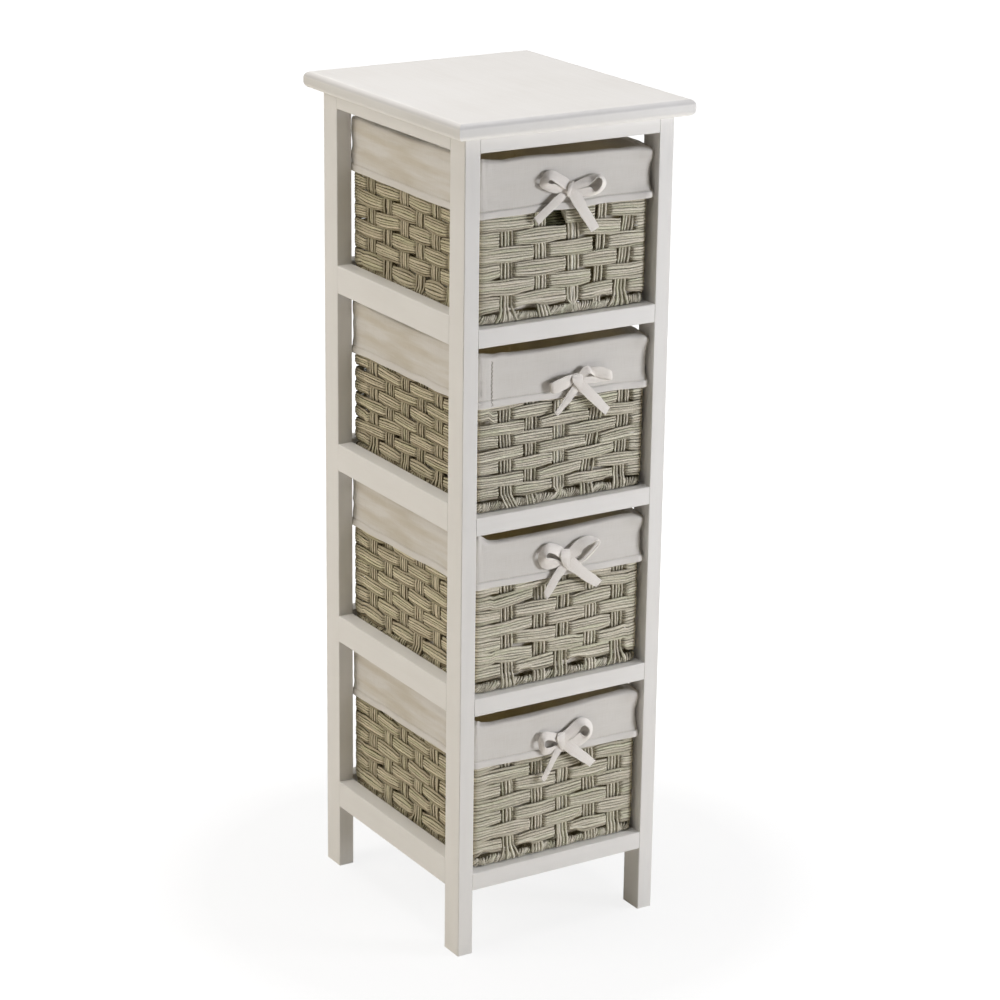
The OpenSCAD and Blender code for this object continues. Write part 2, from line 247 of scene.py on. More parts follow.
def paper_rope(name, dark, mid, light, side=(0.950, 0.902, 0.790), cut=(0.40, 0.365, 0.30), side_groove_shade=(0.66, 0.63, 0.56)):
    """Twisted paper cord. Attribute cc holds the place along the cord in metres and the two coordinates across it, -1
    to 1; cs a number for each cord; cd the amount of painted shade, 0 to 1 where a cord dives behind its neighbours or
    runs along a band's edge, up to 2 for the near-black cords in the gap."""
    m, t, b = new_material(name)
    n = Net(t)
    cc = n.attribute("cc")
    s, a, c = n.split(cc)
    seed = n.attribute("cs", "Fac")
    pos = n.node("ShaderNodeTexCoord").outputs["Object"]
    theta = n.math("ARCTAN2", c, a)
    jig = n.math("MULTIPLY", n.noise(n.scale(cc, (60, 0.3, 0.3)), 1.0, 2, 0.5), 5.0)
    ply = n.math("SINE", n.math("ADD", n.math("MULTIPLY", theta, 2.0), n.math("ADD", n.math("MULTIPLY", s, 2 * math.pi / 0.0080), jig)))
    fib = n.noise(n.scale(cc, (420, 2.6, 2.6)), 1.0, 3, 0.65)
    crepe = n.noise(pos, 1500, 3, 0.7)
    fleck = n.noise(n.scale(pos, (1, 1, 1.8)), 620, 2, 0.6)
    patch = n.noise(n.scale(cc, (36, 0.5, 0.5)), 1.0, 2, 0.5)
    wide = n.noise(pos, 38, 2, 0.5)
    tone = n.math("ADD", n.math("MULTIPLY", seed, 0.34),
                  n.math("ADD", n.math("MULTIPLY", patch, 0.22), n.math("ADD", n.math("MULTIPLY", crepe, 0.48), n.math("MULTIPLY", fleck, 0.30))))
    tone = n.math("SUBTRACT", tone, 0.17)
    tone = n.math("ADD", tone, n.math("MULTIPLY", ply, 0.020))
    col = n.ramp(tone, [(0.30, dark), (0.50, mid), (0.70, light)])
    # now and then a greener or a pinker stretch
    hue = n.noise(n.scale(cc, (11, 0.2, 0.2)), 1.0, 1, 0.5)
    col = n.mix(n.range(hue, 0.50, 0.72, 0.0, 0.40), col, (0.86, 0.97, 0.78), "MULTIPLY")
    col = n.mix(n.range(hue, 0.50, 0.28, 0.0, 0.40), col, (1.0, 0.93, 0.95), "MULTIPLY")
    col = n.mix(n.range(wide, 0.45, 0.70, 0.0, 0.25), col, (0.88, 0.86, 0.80), "MULTIPLY")
    # painted shade: the sides are toned darker and warmer than the front, the grooves between cords darker still, and
    # darkest on the sides
    flank = n.range(n.math("ABSOLUTE", n.split(pos)[0]), 0.0865, 0.0905, 0.0, 1.0)
    col = n.mix(flank, col, side, "MULTIPLY")
    groove = n.math("MULTIPLY", n.range(n.math("ABSOLUTE", c), 0.60, 0.99, 0.0, 1.0), n.range(n.noise(n.scale(cc, (130, 0.8, 0.8)), 1.0, 2, 0.6), 0.36, 0.60, 0.30, 1.0))
    col = n.mix(groove, col, cut, "MULTIPLY")
    col = n.mix(n.math("MULTIPLY", groove, flank), col, side_groove_shade, "MULTIPLY")
    shade_amount = n.attribute("cd", "Fac")
    # painted shade: cords darken by cd, and past 1 towards a greenish near-black
    col = n.mix(n.range(shade_amount, 0.0, 1.0, 0.0, 1.0), col, (0.30, 0.265, 0.20), "MULTIPLY")
    col = n.mix(n.range(shade_amount, 1.0, 2.0, 0.0, 1.0), col, (0.42, 0.50, 0.34), "MULTIPLY")
    n.put(b.inputs["Base Color"], col)
    n.put(b.inputs["Roughness"], n.range(fib, 0.3, 0.7, 0.62, 0.82))
    b.inputs["Specular IOR Level"].default_value = 0.3
    h = n.math("ADD", n.math("MULTIPLY", ply, 0.35), n.math("ADD", n.math("MULTIPLY", crepe, 1.1), n.math("MULTIPLY", fib, 0.7)))
    n.put(b.inputs["Normal"], n.bump(h, 0.00026, 0.85))
    return m


def cotton(name, base, thread=0.00055, lines=0.0, deep=1.0, hem=0.0):
    """Plain-woven cotton. Attribute cu holds the place on the flat cloth in metres."""
    m, t, b = new_material(name)
    n = Net(t)
    uv = n.attribute("cu")
    u, v, w = n.split(uv)
    wob = n.math("MULTIPLY", n.noise(uv, 160, 2, 0.5), 1.6)
    k = 2 * math.pi / thread
    wa = n.math("SINE", n.math("ADD", n.math("MULTIPLY", u, k), wob))
    wb = n.math("SINE", n.math("ADD", n.math("MULTIPLY", v, k), wob))
    plain = n.math("MULTIPLY", wa, wb)
    slub_u = n.noise(n.scale(uv, (1800, 60, 1)), 1.0, 2, 0.6)
    slub_v = n.noise(n.scale(uv, (60, 1800, 1)), 1.0, 2, 0.6)
    slub = n.math("ADD", slub_u, slub_v)
    cloud = n.noise(uv, 22, 3, 0.55)
    lo = tuple(x * f for x, f in zip(base, (0.93, 0.92, 0.90)))
    hi = tuple(min(x * f, 0.93) for x, f in zip(base, (1.04, 1.04, 1.045)))
    tone = n.math("ADD", n.math("MULTIPLY", slub, 0.34), n.math("ADD", n.math("MULTIPLY", cloud, 0.26), n.math("MULTIPLY", plain, 0.05)))
    col = n.ramp(tone, [(0.30, lo), (0.46, base), (0.66, hi)])
    if hem:
        # painted shade on the sides: a slight overall darkening and long fold-shaped patches of warm shade; the front
        # gets faint fold shade too
        flank = n.range(n.math("ABSOLUTE", n.split(n.node("ShaderNodeTexCoord").outputs["Object"])[0]), 0.0905, 0.0925, 0.0, 1.0)
        fold_shade = n.range(n.noise(n.scale(uv, (11, 85, 1)), 1.0, 3, 0.55), 0.36, 0.62, 1.0, 0.0)
        col = n.mix(flank, col, (0.98, 0.975, 0.965), "MULTIPLY")
        col = n.mix(n.math("MULTIPLY", flank, fold_shade), col, (0.87, 0.835, 0.765), "MULTIPLY")
        col = n.mix(n.math("MULTIPLY", n.math("SUBTRACT", 1.0, flank), n.math("MULTIPLY", fold_shade, 0.35)), col, (0.92, 0.91, 0.89), "MULTIPLY")
        # painted warm shade: the inside of the liner is toned warmer
        inside = n.range(v, 0.060, 0.070, 0.0, 1.0)
        col = n.mix(inside, col, (1.01, 0.985, 0.945), "MULTIPLY")
        # painted light: a faint warm glow inside the deep basket stands in for light that has gone round inside it
        b.inputs["Emission Color"].default_value = (1.0, 0.72, 0.20, 1)
        n.put(b.inputs["Emission Strength"], n.math("MULTIPLY", inside, n.range(n.noise(uv, 13, 2, 0.5), 0.36, 0.62, 0.006, 0.024)))
        # painted highlight: the hem is toned lighter; a painted shadow line lies in the step above it
        col = n.mix(n.math("MULTIPLY", n.range(v, hem - 0.0004, hem, 1.0, 0.0), 0.6), col, hi)
        hem_shadow_line = n.math("MULTIPLY", n.range(v, hem, hem + 0.0004, 0.0, 1.0), n.range(v, hem + 0.0006, hem + 0.0014, 1.0, 0.0))
        col = n.mix(hem_shadow_line, col, (0.86, 0.85, 0.83), "MULTIPLY")
    n.put(b.inputs["Base Color"], col)
    b.inputs["Roughness"].default_value = 0.88
    b.inputs["Sheen Weight"].default_value = 0.12
    b.inputs["Sheen Roughness"].default_value = 0.45
    b.inputs["Specular IOR Level"].default_value = 0.2
    h = n.math("ADD", n.math("MULTIPLY", plain, 0.55), n.math("ADD", n.math("MULTIPLY", wa, 0.25 + lines), n.math("MULTIPLY", slub, 0.9)))
    n.put(b.inputs["Normal"], n.bump(h, 0.00012, 0.7 * deep))
    return m


def thread_material(name, dark=(0.70, 0.67, 0.61), light=(0.82, 0.79, 0.73)):
    m, t, b = new_material(name)
    n = Net(t)
    pos = n.node("ShaderNodeTexCoord").outputs["Object"]
    s = n.noise(pos, 1500, 2, 0.5)
    n.put(b.inputs["Base Color"], n.ramp(s, [(0.3, dark), (0.7, light)]))
    b.inputs["Roughness"].default_value = 0.8
    n.put(b.inputs["Normal"], n.bump(s, 0.0001, 0.5))
    return m


PAINT = {k: painted_wood("paint_" + k, k) for k in "xyz"}
PAINT["board"] = painted_wood("paint_board", "y", board_shading=True)
RAW = raw_wood("beech_dowel")
STEEL = zinc("zinc_screw")
WIRE = zinc("wire_lacquer", (0.42, 0.41, 0.37))
ROPE = {
    1: paper_rope("paper_rope_1", (0.466, 0.439, 0.340), (0.709, 0.676, 0.564), (0.887, 0.853, 0.743), (0.860, 0.810, 0.702), (0.60, 0.565, 0.49), (0.44, 0.41, 0.35)),
    2: paper_rope("paper_rope_2", (0.352, 0.328, 0.250), (0.690, 0.654, 0.544), (0.925, 0.889, 0.768), (0.890, 0.838, 0.724), (0.27, 0.242, 0.190), (0.46, 0.43, 0.36)),
    3: paper_rope("paper_rope_3", (0.412, 0.386, 0.299), (0.703, 0.667, 0.554), (0.905, 0.867, 0.746), (0.965, 0.916, 0.802), (0.46, 0.42, 0.35), (0.32, 0.295, 0.245)),
    4: paper_rope("paper_rope_4", (0.441, 0.415, 0.320), (0.683, 0.648, 0.538), (0.850, 0.811, 0.699), cut=(0.60, 0.56, 0.48), side_groove_shade=(0.38, 0.35, 0.29)),
}
LINER = cotton("liner_cotton", (0.770, 0.749, 0.718), hem=0.0064)
RIBBON = cotton("ribbon_cotton", (0.915, 0.873, 0.828), 0.0005, 0.35)
THREAD = thread_material("sewing_thread")
SEAM = thread_material("overlock_thread", (0.34, 0.32, 0.28), (0.50, 0.47, 0.41))


# ---------------------------------------------------------------- frame: the CAD's own pieces get their finish
def dress(node, mat):
    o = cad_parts[node]
    if not o.data.materials:
        o.data.materials.append(mat)
    for i in range(len(o.data.materials)):
        o.data.materials[i] = mat


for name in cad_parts:
    if name.startswith("basket"):
        continue
    if name.startswith("post"):
        dress(name, PAINT["z"])
    elif name.startswith(("rail_front", "rail_back")):
        dress(name, PAINT["x"])
    elif name.startswith(("rail_left", "rail_right", "runner_l", "runner_r")):
        dress(name, PAINT["y"])
    elif name == "top_board":
        dress(name, PAINT["board"])
    elif name.startswith("dowels"):
        dress(name, RAW)
    else:
        dress(name, STEEL)


# ---------------------------------------------------------------- mesh helpers
def make_object(name, verts, quads, mat, attrs=None, extra_faces=None, smooth=True):
    """A mesh piece from numpy arrays. attrs maps a name to (kind, array on the points)."""
    verts = np.asarray(verts, np.float32)
    me = bpy.data.meshes.new(name)
    quads = np.asarray(quads, np.int32).reshape(-1, 4)
    loops = quads.ravel()
    starts = np.arange(len(quads), dtype=np.int32) * 4
    if extra_faces:
        more = np.concatenate([np.asarray(f, np.int32) for f in extra_faces])
        sizes = np.array([len(f) for f in extra_faces], np.int32)
        starts = np.concatenate([starts, len(loops) + np.concatenate([[0], np.cumsum(sizes)[:-1]]).astype(np.int32)])
        loops = np.concatenate([loops, more])
    me.vertices.add(len(verts))
    me.vertices.foreach_set("co", verts.ravel())
    me.loops.add(len(loops))
    me.loops.foreach_set("vertex_index", loops.astype(np.int32))
    me.polygons.add(len(starts))
    me.polygons.foreach_set("loop_start", starts.astype(np.int32))
    me.update(calc_edges=True)
    me.validate()
    if smooth:
        me.polygons.foreach_set("use_smooth", np.ones(len(me.polygons), bool))
    for k, (kind, arr) in (attrs or {}).items():
        at = me.attributes.new(k, kind, "POINT")
        key = "vector" if kind == "FLOAT_VECTOR" else "value"
        at.data.foreach_set(key, np.asarray(arr, np.float32).ravel())
    me.materials.append(mat)
    o = bpy.data.objects.new(name, me)
    scene.collection.objects.link(o)
    return o


class Batch:
    """Collects swept cords into one mesh."""

    def __init__(self):
        self.v, self.q, self.f, self.cc, self.cs, self.cd, self.n = [], [], [], [], [], [], 0

    def sweep(self, rings, along, across, seed, closed=False, caps=True, shade_amount=0.0):
        """rings: (m, k, 3) points; along: (m,) metres; across: (k, 2)."""
        m, k, _ = rings.shape
        self.v.append(rings.reshape(-1, 3))
        a = np.repeat(along[:, None], k, 1)
        c = np.repeat(across[None], m, 0)
        self.cc.append(np.dstack([a, c]).reshape(-1, 3))
        self.cs.append(np.full(m * k, seed))
        self.cd.append(np.repeat(np.broadcast_to(shade_amount, (m,)), k))
        i = np.arange(m if closed else m - 1)[:, None]
        j = np.arange(k)[None]
        i2, j2 = (i + 1) % m, (j + 1) % k
        q = np.stack([i * k + j, i2 * k + j, i2 * k + j2, i * k + j2], -1).reshape(-1, 4) + self.n
        self.q.append(q)
        if caps and not closed:
            self.f.append(np.arange(k)[::1] + self.n)
            self.f.append(np.arange(k)[::-1] + self.n + (m - 1) * k)
        self.n += m * k

    def settle(self, z0, top, place, height):
        """Press everything above z0 together, so that what reached top stays under the heights given at places (k, 2)."""
        for v in self.v:
            m = v[:, 2] > z0
            if m.any():
                h = height[((v[m, None, :2] - place[None]) ** 2).sum(-1).argmin(1)]
                v[m, 2] = z0 + (v[m, 2] - z0) * (h - z0) / (top - z0)

    def build(self, name, mat):
        return make_object(name, np.concatenate(self.v), np.concatenate(self.q), mat,
                           {"cc": ("FLOAT_VECTOR", np.concatenate(self.cc)), "cs": ("FLOAT", np.concatenate(self.cs)), "cd": ("FLOAT", np.concatenate(self.cd))},
                           self.f)


def smooth_noise(rng, length, wave, amp, periodic=False):
    """A smooth random function of s as a sum of sines with wavelengths about wave."""
    n = 7
    if periodic:
        cyc = np.maximum(1, np.round(length / wave * rng.uniform(0.5, 1.8, n)))
        w = 2 * np.pi * cyc / length
    else:
        w = 2 * np.pi / (wave * rng.uniform(0.55, 2.0, n))
    p = rng.uniform(0, 2 * np.pi, n)
    a = rng.normal(0, 1, n)
    a *= amp / np.sqrt((a ** 2).sum() / 2)
    return lambda s: (np.sin(np.multiply.outer(np.asarray(s), w) + p) * a).sum(-1) * 0.7


def ellipse(k, ra, rb):
    """Points round an ellipse: (k, 2) offsets and unit coordinates."""
    th = np.arange(k) * 2 * np.pi / k
    return np.stack([ra * np.cos(th), rb * np.sin(th)], 1), np.stack([np.cos(th), np.sin(th)], 1)


class Perimeter:
    """A rounded rectangle walked from the left end of the front, anticlockwise seen from above, with outward normals."""

    def __init__(self, w, d, r, cy):
        self.w, self.d, self.r, self.cy = w, d, r, cy
        self.parts = []
        a, q = w - 2 * r, math.pi * r / 2
        b = d - 2 * r
        self.lens = [a, q, b, q, a, q, b, q]
        self.at = np.concatenate([[0], np.cumsum(self.lens)])
        self.length = float(self.at[-1])

    def __call__(self, s, off=0.0):
        """Points and outward normals at s, the points moved out by off."""
        s = np.mod(np.asarray(s, float), self.length)
        off = np.broadcast_to(np.asarray(off, float), s.shape)
        k = np.clip(np.searchsorted(self.at, s, "right") - 1, 0, 7)
        t = s - self.at[k]
        w, d, r = self.w / 2, self.d / 2, self.r
        x, y, nx, ny = (np.zeros_like(s) for _ in range(4))
        ang0 = {1: -90, 3: 0, 5: 90, 7: 180}
        cen = {1: (w - r, -d + r), 3: (w - r, d - r), 5: (-w + r, d - r), 7: (-w + r, -d + r)}
        for i in range(8):
            m = k == i
            if not m.any():
                continue
            if i % 2:
                a = np.radians(ang0[i]) + t[m] / r
                nx[m], ny[m] = np.cos(a), np.sin(a)
                x[m], y[m] = cen[i][0] + r * np.cos(a), cen[i][1] + r * np.sin(a)
            else:
                n = {0: (0, -1), 2: (1, 0), 4: (0, 1), 6: (-1, 0)}[i]
                st = {0: (-w + r, -d), 2: (w, -d + r), 4: (w - r, d), 6: (-w, d - r)}[i]
                dr = {0: (1, 0), 2: (0, 1), 4: (-1, 0), 6: (0, -1)}[i]
                nx[m], ny[m] = n
                x[m], y[m] = st[0] + dr[0] * t[m], st[1] + dr[1] * t[m]
        return np.stack([x + nx * off, y + ny * off + self.cy], -1), np.stack([nx, ny], -1)

    def front(self, x):
        return x + self.w / 2 - self.r

    def right(self, y):
        return self.at[2] + (y - self.cy) + self.d / 2 - self.r

    def back(self, x):
        return self.at[4] + self.w / 2 - self.r - x

    def left(self, y):
        return self.at[6] + self.d / 2 - self.r - (y - self.cy)

    def corner(self, i):
        """Middle of corner i: 0 front right, 1 back right, 2 back left, 3 front left."""
        return (self.at[1 + 2 * i] + self.at[2 + 2 * i]) / 2


# ---------------------------------------------------------------- the baskets' weave
def span(node):
    lo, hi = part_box(node)
    return [float(v) for v in lo], [float(v) for v in hi]


BZ = {n: span(f"basket_{n}_weave")[0][2] for n in range(1, 5)}
_lo, _hi = span("basket_1_weave")
BW, BD, BH, BCY = _hi[0] - _lo[0], _hi[1] - _lo[1], span("basket_1_liner")[1][2] - BZ[1] - 1.6 * MM, (_hi[1] + _lo[1]) / 2
HALF = 3.7 * MM      # from the weave's middle surface out to its crests

# front, left: places of the uprights on the front (x) and left side (y) in mm; z0, pitch: the lowest band's middle and the step between
# bands; corners: corners with a hidden upright; arches: (x, half width) of the openings over the border on the front
SPEC = {
    1: dict(seed=11, r=9.5, dx=-0.3, front=[-60.5, -24.5, 10.5, 40, 69], slant=[0.0, -0.03, -0.01, 0.05, 0.12],
            left=[74.6, 43.5, 11.6, -17.5, -46.4, -76], corners=(0, 1, 2, 3), z0=19, pitch=14.8, cords=6,
            arches=[(-37, 15), (41, 8), (66, 5)], modes=["split", "bend", "taper", "thin", "split"], hole=(5, 1, 17.5)),
    2: dict(seed=23, r=7.0, dx=0.4, front=[-60, -32, -0.5, 38, 69.5], slant=[-0.03, 0.01, 0.0, 0.16, 0.05],
            left=[71.2, 39.7, 10, -20.3, -52, -84], corners=(0, 1), z0=17.4, pitch=12.4, cords=5,
            arches=[(-9, 7), (22, 7), (54, 6)], modes=["right", "bend", "taper", "bend", "down"], hole=None),
    3: dict(seed=37, r=7.6, dx=0.1, front=[-55.5, -19, 7, 39, 69], slant=[-0.03, 0.0, 0.03, 0.0, 0.0],
            left=[72, 42, 12, -18, -49, -80], corners=(0, 1, 2, 3), z0=20, pitch=14.0, cords=5,
            arches=[(-35, 8), (23, 10), (76, 4)], modes=["down", "wrap", "down", "wrap", "split"], hole=None),
    4: dict(seed=53, r=7.0, dx=0.6, front=[-52, -19, 10, 40, 70], slant=[-0.04, -0.02, -0.01, -0.05, 0.0],
            left=[73, 43, 12, -17, -48, -79], corners=(0, 1, 2, 3), z0=18.5, pitch=14.5, cords=5,
            arches=[(-33, 10), (22, 9), (-80, 6)], modes=["split", "wrap", "down", "wrap", "wrap"], hole=None),
}
CORD = np.array([(1.0, 0.0), (0.88, 0.62), (0.25, 0.97), (-0.80, 0.72), (-1.0, 0.0), (-0.80, -0.72), (0.25, -0.97), (0.88, -0.62)])
ROUND = np.array([(math.cos(a), math.sin(a)) for a in np.arange(7) * 2 * math.pi / 7])


def smoothstep(x, a, b):
    t = np.clip((x - a) / (b - a), 0, 1)
    return t * t * (3 - 2 * t)


# low: skirt's lower edge over the underside at the left and right ends of the front; rim: (x, height) along the front; flare: how far
# the hem stands off; gather: depth of the corner pleats; seam: x of the overlocked seam
LSPEC = {
    1: dict(seed=101, low=(99.8, 100.6), rim=[(-90, 152.6), (-76, 150.9), (-67, 150.2), (-58, 151.0), (-42, 151.7), (-28, 151.1), (-12, 149.9), (0, 149.6), (37, 149.4), (50, 149.0), (64, 148.2), (80, 148.6), (92, 147.2)],
            left=153.0,
            flare=1.5, gather=1.0, seam=None, round_tr=0.0),
    2: dict(seed=202, low=(102.4, 98.8), rim=[(-90, 152.6), (-76, 150.6), (-69, 151.0), (-60, 149.9), (-40, 149.1), (-20, 148.7), (0, 149.0), (25, 149.1), (50, 149.6), (62, 149.7), (70, 150.2), (81, 150.0), (88, 149.8), (92, 148.0)],
            left=153.0,
            flare=0.8, gather=0.5, seam=-78, round_tr=1.0),
    3: dict(seed=303, low=(105.6, 103.4), rim=[(-91, 156.5), (-87, 155.4), (-82, 151.8), (-77, 150.2), (-70, 149.4), (-50, 149.0), (-30, 148.7), (-12, 149.0), (0, 149.3), (18, 150.1), (37, 150.6), (57, 151.1), (83, 151.3), (92, 149.4)],
            left=155.0,
            flare=1.2, gather=0.7, seam=None, round_tr=0.3),
    4: dict(seed=404, low=(104.4, 100.8), rim=[(-90, 149.6), (-85, 147.6), (-75, 146.1), (-64, 146.2), (-43, 146.6), (-30, 146.7), (8, 147.3), (60, 149.4), (72, 149.4), (86, 149.9), (92, 148.2)],
            left=150.9,
            flare=0.9, gather=0.5, seam=None, round_tr=0.3),
}


def round_values(P, pts, s):
    """Heights in mm given at places round an outline, eased from one to the next, in metres at s."""
    pts = sorted(pts)
    xs = np.array([p[0] for p in pts]); ys = np.array([p[1] for p in pts]) * MM
    xs = np.concatenate([[xs[-1] - P.length], xs, [xs[0] + P.length]]); ys = np.concatenate([[ys[-1]], ys, [ys[0]]])
    i = np.clip(np.searchsorted(xs, s, "right") - 1, 0, len(xs) - 2)
    u = np.clip((s - xs[i]) / (xs[i + 1] - xs[i]), 0, 1)
    u = u * u * (3 - 2 * u) * 0.6 + u * 0.4
    return ys[i] * (1 - u) + ys[i + 1] * u


def rim_points(n, P, wobble=0.0):
    """Where the liner's rim stands round the basket: places on the outline and heights in mm."""
    r = LSPEC[n]["rim"]
    return [(P.front(x * MM), h) for x, h in r] + [
        (P.right(-100 * MM), r[-1][1] + 3.0), (P.right(0.0), 151.4), (P.right(95 * MM), 151.6),
        (P.back(60 * MM), {1: 148.2, 2: 153.2}.get(n, 151.4)), (P.back(-60 * MM), 151.8 + wobble),
        (P.left(96 * MM), 152.6), (P.left(60 * MM), 151.4), (P.left(0.0), 151.0), (P.left(-90 * MM), LSPEC[n]["left"])]


def weave(n):
    sp = SPEC[n]
    rng = np.random.RandomState(sp["seed"])
    zb, dx = BZ[n], sp["dx"] * MM
    P = Perimeter(BW - 2 * HALF, BD - 2 * HALF, sp["r"] * MM - HALF, BCY)
    L = P.length

    def walk(s, off):
        pts, nor = P(s, off)
        pts[..., 0] += dx
        return pts, nor

    front = [P.front(x * MM - dx) for x in sp["front"]]
    side = np.array(sp["left"]) * MM
    right = sorted(P.right(y) for y in side + rng.normal(0, 1.0 * MM, 6))
    back = sorted(P.back(x * MM + rng.normal(0, 1.5 * MM)) for x in sp["front"])
    left = sorted(P.left(y) for y in side)
    ups = [(s, sl, m) for s, sl, m in zip(front, sp["slant"], sp["modes"])]
    any_mode = lambda: rng.choice(["split", "down", "wrap", "right", "left", "taper"])
    for ci, group in ((0, right), (1, back), (2, left), (3, [])):
        if ci in sp["corners"]:
            ups.append((P.corner(ci), 0.0, "none"))
        ups += [(s, rng.normal(0, 0.03), any_mode()) for s in group]
    N = len(ups)
    assert N % 2 == 0
    sw = np.array([u[0] for u in ups])
    slant = np.array([u[1] for u in ups])
    modes = [u[2] for u in ups]
    hidden_up = np.array([m == "none" for m in modes])
    pitch, z0 = sp["pitch"] * MM, sp["z0"] * MM
    rows = int((BH - 4 * MM - z0) / pitch + 0.5) + 1
    row_z = z0 + pitch * np.arange(rows)
    row_z[-1] = min(row_z[-1], BH - 9 * MM)
    K = sp["cords"]
    r_rad, r_ver = 1.15 * MM, pitch / K / 2 * 0.985
    out_level, in_level = 2.25 * MM, -2.2 * MM
    weft, warp, border, base = Batch(), Batch(), Batch(), Batch()
    knot_z = rng.normal(0, 0.35 * MM, (rows, N))
    sideways = P(sw)[1][:, 0] ** 2
    far = np.where(P(sw)[1][:, 1] < -0.5, -1.0, np.where(P(sw)[1][:, 0] < -0.5, 1.0, 0.0))
    win0 = 3.6 * MM + rng.uniform(-0.5, 0.5, (rows, N)) * MM + 1.8 * MM * sideways
    win1 = win0 + rng.uniform(5.8, 7.2, (rows, N)) * MM * (1 - 0.15 * sideways)
    steep0 = 6.5 * MM + rng.uniform(-0.4, 0.4, (rows, N)) * MM + 2.3 * MM * sideways
    steep1 = steep0 + rng.uniform(2.7, 3.5, (rows, N)) * MM
    tilt = rng.normal(0, 0.035, (rows, N))
    arches = [(P.front(x * MM), w * MM) for x, w in sp["arches"]]
    for i in range(N):
        if P.at[4] < sw[i] < P.at[5] and rng.rand() < 0.5:
            arches.append(((sw[i] + 15 * MM * rng.choice([-1, 1])) % L, rng.uniform(5, 9) * MM))

    def arch(s):
        out = np.zeros_like(s)
        for s0, w in arches:
            d = np.abs((s - s0 + L / 2) % L - L / 2) / w
            out = np.maximum(out, np.clip(1 - d ** 4, 0, 1) * (d < 1))
        return out

    def at_ups(values, s):
        xs = np.concatenate([[sw[-1] - L], sw, [sw[0] + L]])
        ys = np.concatenate([[values[-1]], values, [values[0]]])
        i = np.clip(np.searchsorted(xs, s, "right") - 1, 0, len(xs) - 2)
        u = (s - xs[i]) / (xs[i + 1] - xs[i])
        c = (1 - np.cos(np.pi * u)) / 2
        return ys[i] * (1 - c) + ys[i + 1] * c

    for j in range(rows):
        hidden = row_z[j] > 113 * MM
        prof = CORD if not hidden else ROUND[[0, 1, 3, 4, 6]]
        under = [i for i in range(N) if (i + j) % 2 == 0 and not hidden_up[i]]
        centre = np.array([sw[i] + slant[i] * (row_z[j] - 70 * MM) for i in under])
        start = P.corner(2) + 5 * MM + 2 * MM * (j % 3)
        # sample places: close together where a band dives behind an upright and round the corners
        if hidden:
            grid = np.arange(0, L + 8 * MM, 5 * MM) + start
        else:
            base_grid = np.arange(0, L + 8 * MM, 4.4 * MM) + start
            extra = []
            for i, c in zip(under, centre):
                a, b = win0[j, i], win1[j, i]
                reach = [0, a] + [a + (b - a) * f for f in (0.22, 0.38, 0.52, 0.66, 0.82, 1.0)] + [b + 1.8 * MM]
                a2, b2 = steep0[j, i], steep1[j, i]
                reach2 = [a2 - 0.6 * MM] + [a2 + (b2 - a2) * f for f in (0.2, 0.4, 0.6, 0.8, 1.0)] + [b2 + 0.8 * MM]
                for d in reach:
                    extra += [c] if not d else [c - far[i] * d] if far[i] else [c + d, c - d]
                if far[i]:
                    extra += [c + far[i] * d for d in reach2]
                if sp["hole"] and sp["hole"][0] == j and sp["hole"][1] == i:
                    w = sp["hole"][2] * MM
                    extra += [c + a + w * f for f in (0.2, 0.4, 0.6, 0.8, 1.0)] + [c + b + w * f for f in (0.8, 0.9, 1.0)]
            extra = np.array(extra)
            lo_c = P.at[[1, 3, 5, 7]]
            arcs = np.concatenate([a0 + np.linspace(0, P.lens[1], 5) for a0 in lo_c])
            extra = np.concatenate([extra, arcs])
            allg = np.concatenate([extra, extra + L, extra - L])
            allg = allg[(allg > base_grid[0]) & (allg < base_grid[-1])]
            near = np.abs(base_grid[:, None] - allg[None]).min(1)
            grid = np.sort(np.concatenate([base_grid[near > 1.9 * MM], allg]))
            keep = np.concatenate([[True], np.diff(grid) > 0.45 * MM])
            grid = grid[keep]
        s_abs, s = grid, np.mod(grid, L)
        shift = rng.uniform(-0.5, 0.5, (K, N)) * MM
        cut = np.zeros((K, len(s)))
        away = np.zeros(len(s))
        B = np.zeros(len(s))
        pinch = np.zeros(len(s))
        for i, c in zip(under, centre):
            d = (s - c + L / 2) % L - L / 2
            wide0, wide1 = win0[j, i], win1[j, i]
            beyond = d * far[i] > 0
            a0, b0 = np.where(beyond, steep0[j, i], wide0), np.where(beyond, steep1[j, i], wide1)
            w = 1 - smoothstep(np.abs(d), a0, b0)
            away = np.maximum(away, beyond * (np.abs(d) < b0 + 1 * MM))
            for k in range(K):
                cut[k] = np.maximum(cut[k], 1 - smoothstep(np.abs(d), a0 + shift[k, i], b0 + shift[k, i]))
            if sp["hole"] and sp["hole"][0] == j and sp["hole"][1] == i:
                ext = sp["hole"][2] * MM
                w = np.maximum(w, np.where(d > 0, 1 - smoothstep(d, wide0 + ext + 2.0 * MM, wide0 + ext + 6 * MM), 0))
                pinch = np.maximum(pinch, np.where((d > 0), smoothstep(d, 6 * MM, 9.5 * MM) * (1 - smoothstep(d, wide0 + ext + 2.2 * MM, wide0 + ext + 5.2 * MM)), 0))
            B = np.maximum(B, w)
            cut = np.maximum(cut, w[None] * (w > 0.5) * (pinch > 0)[None])
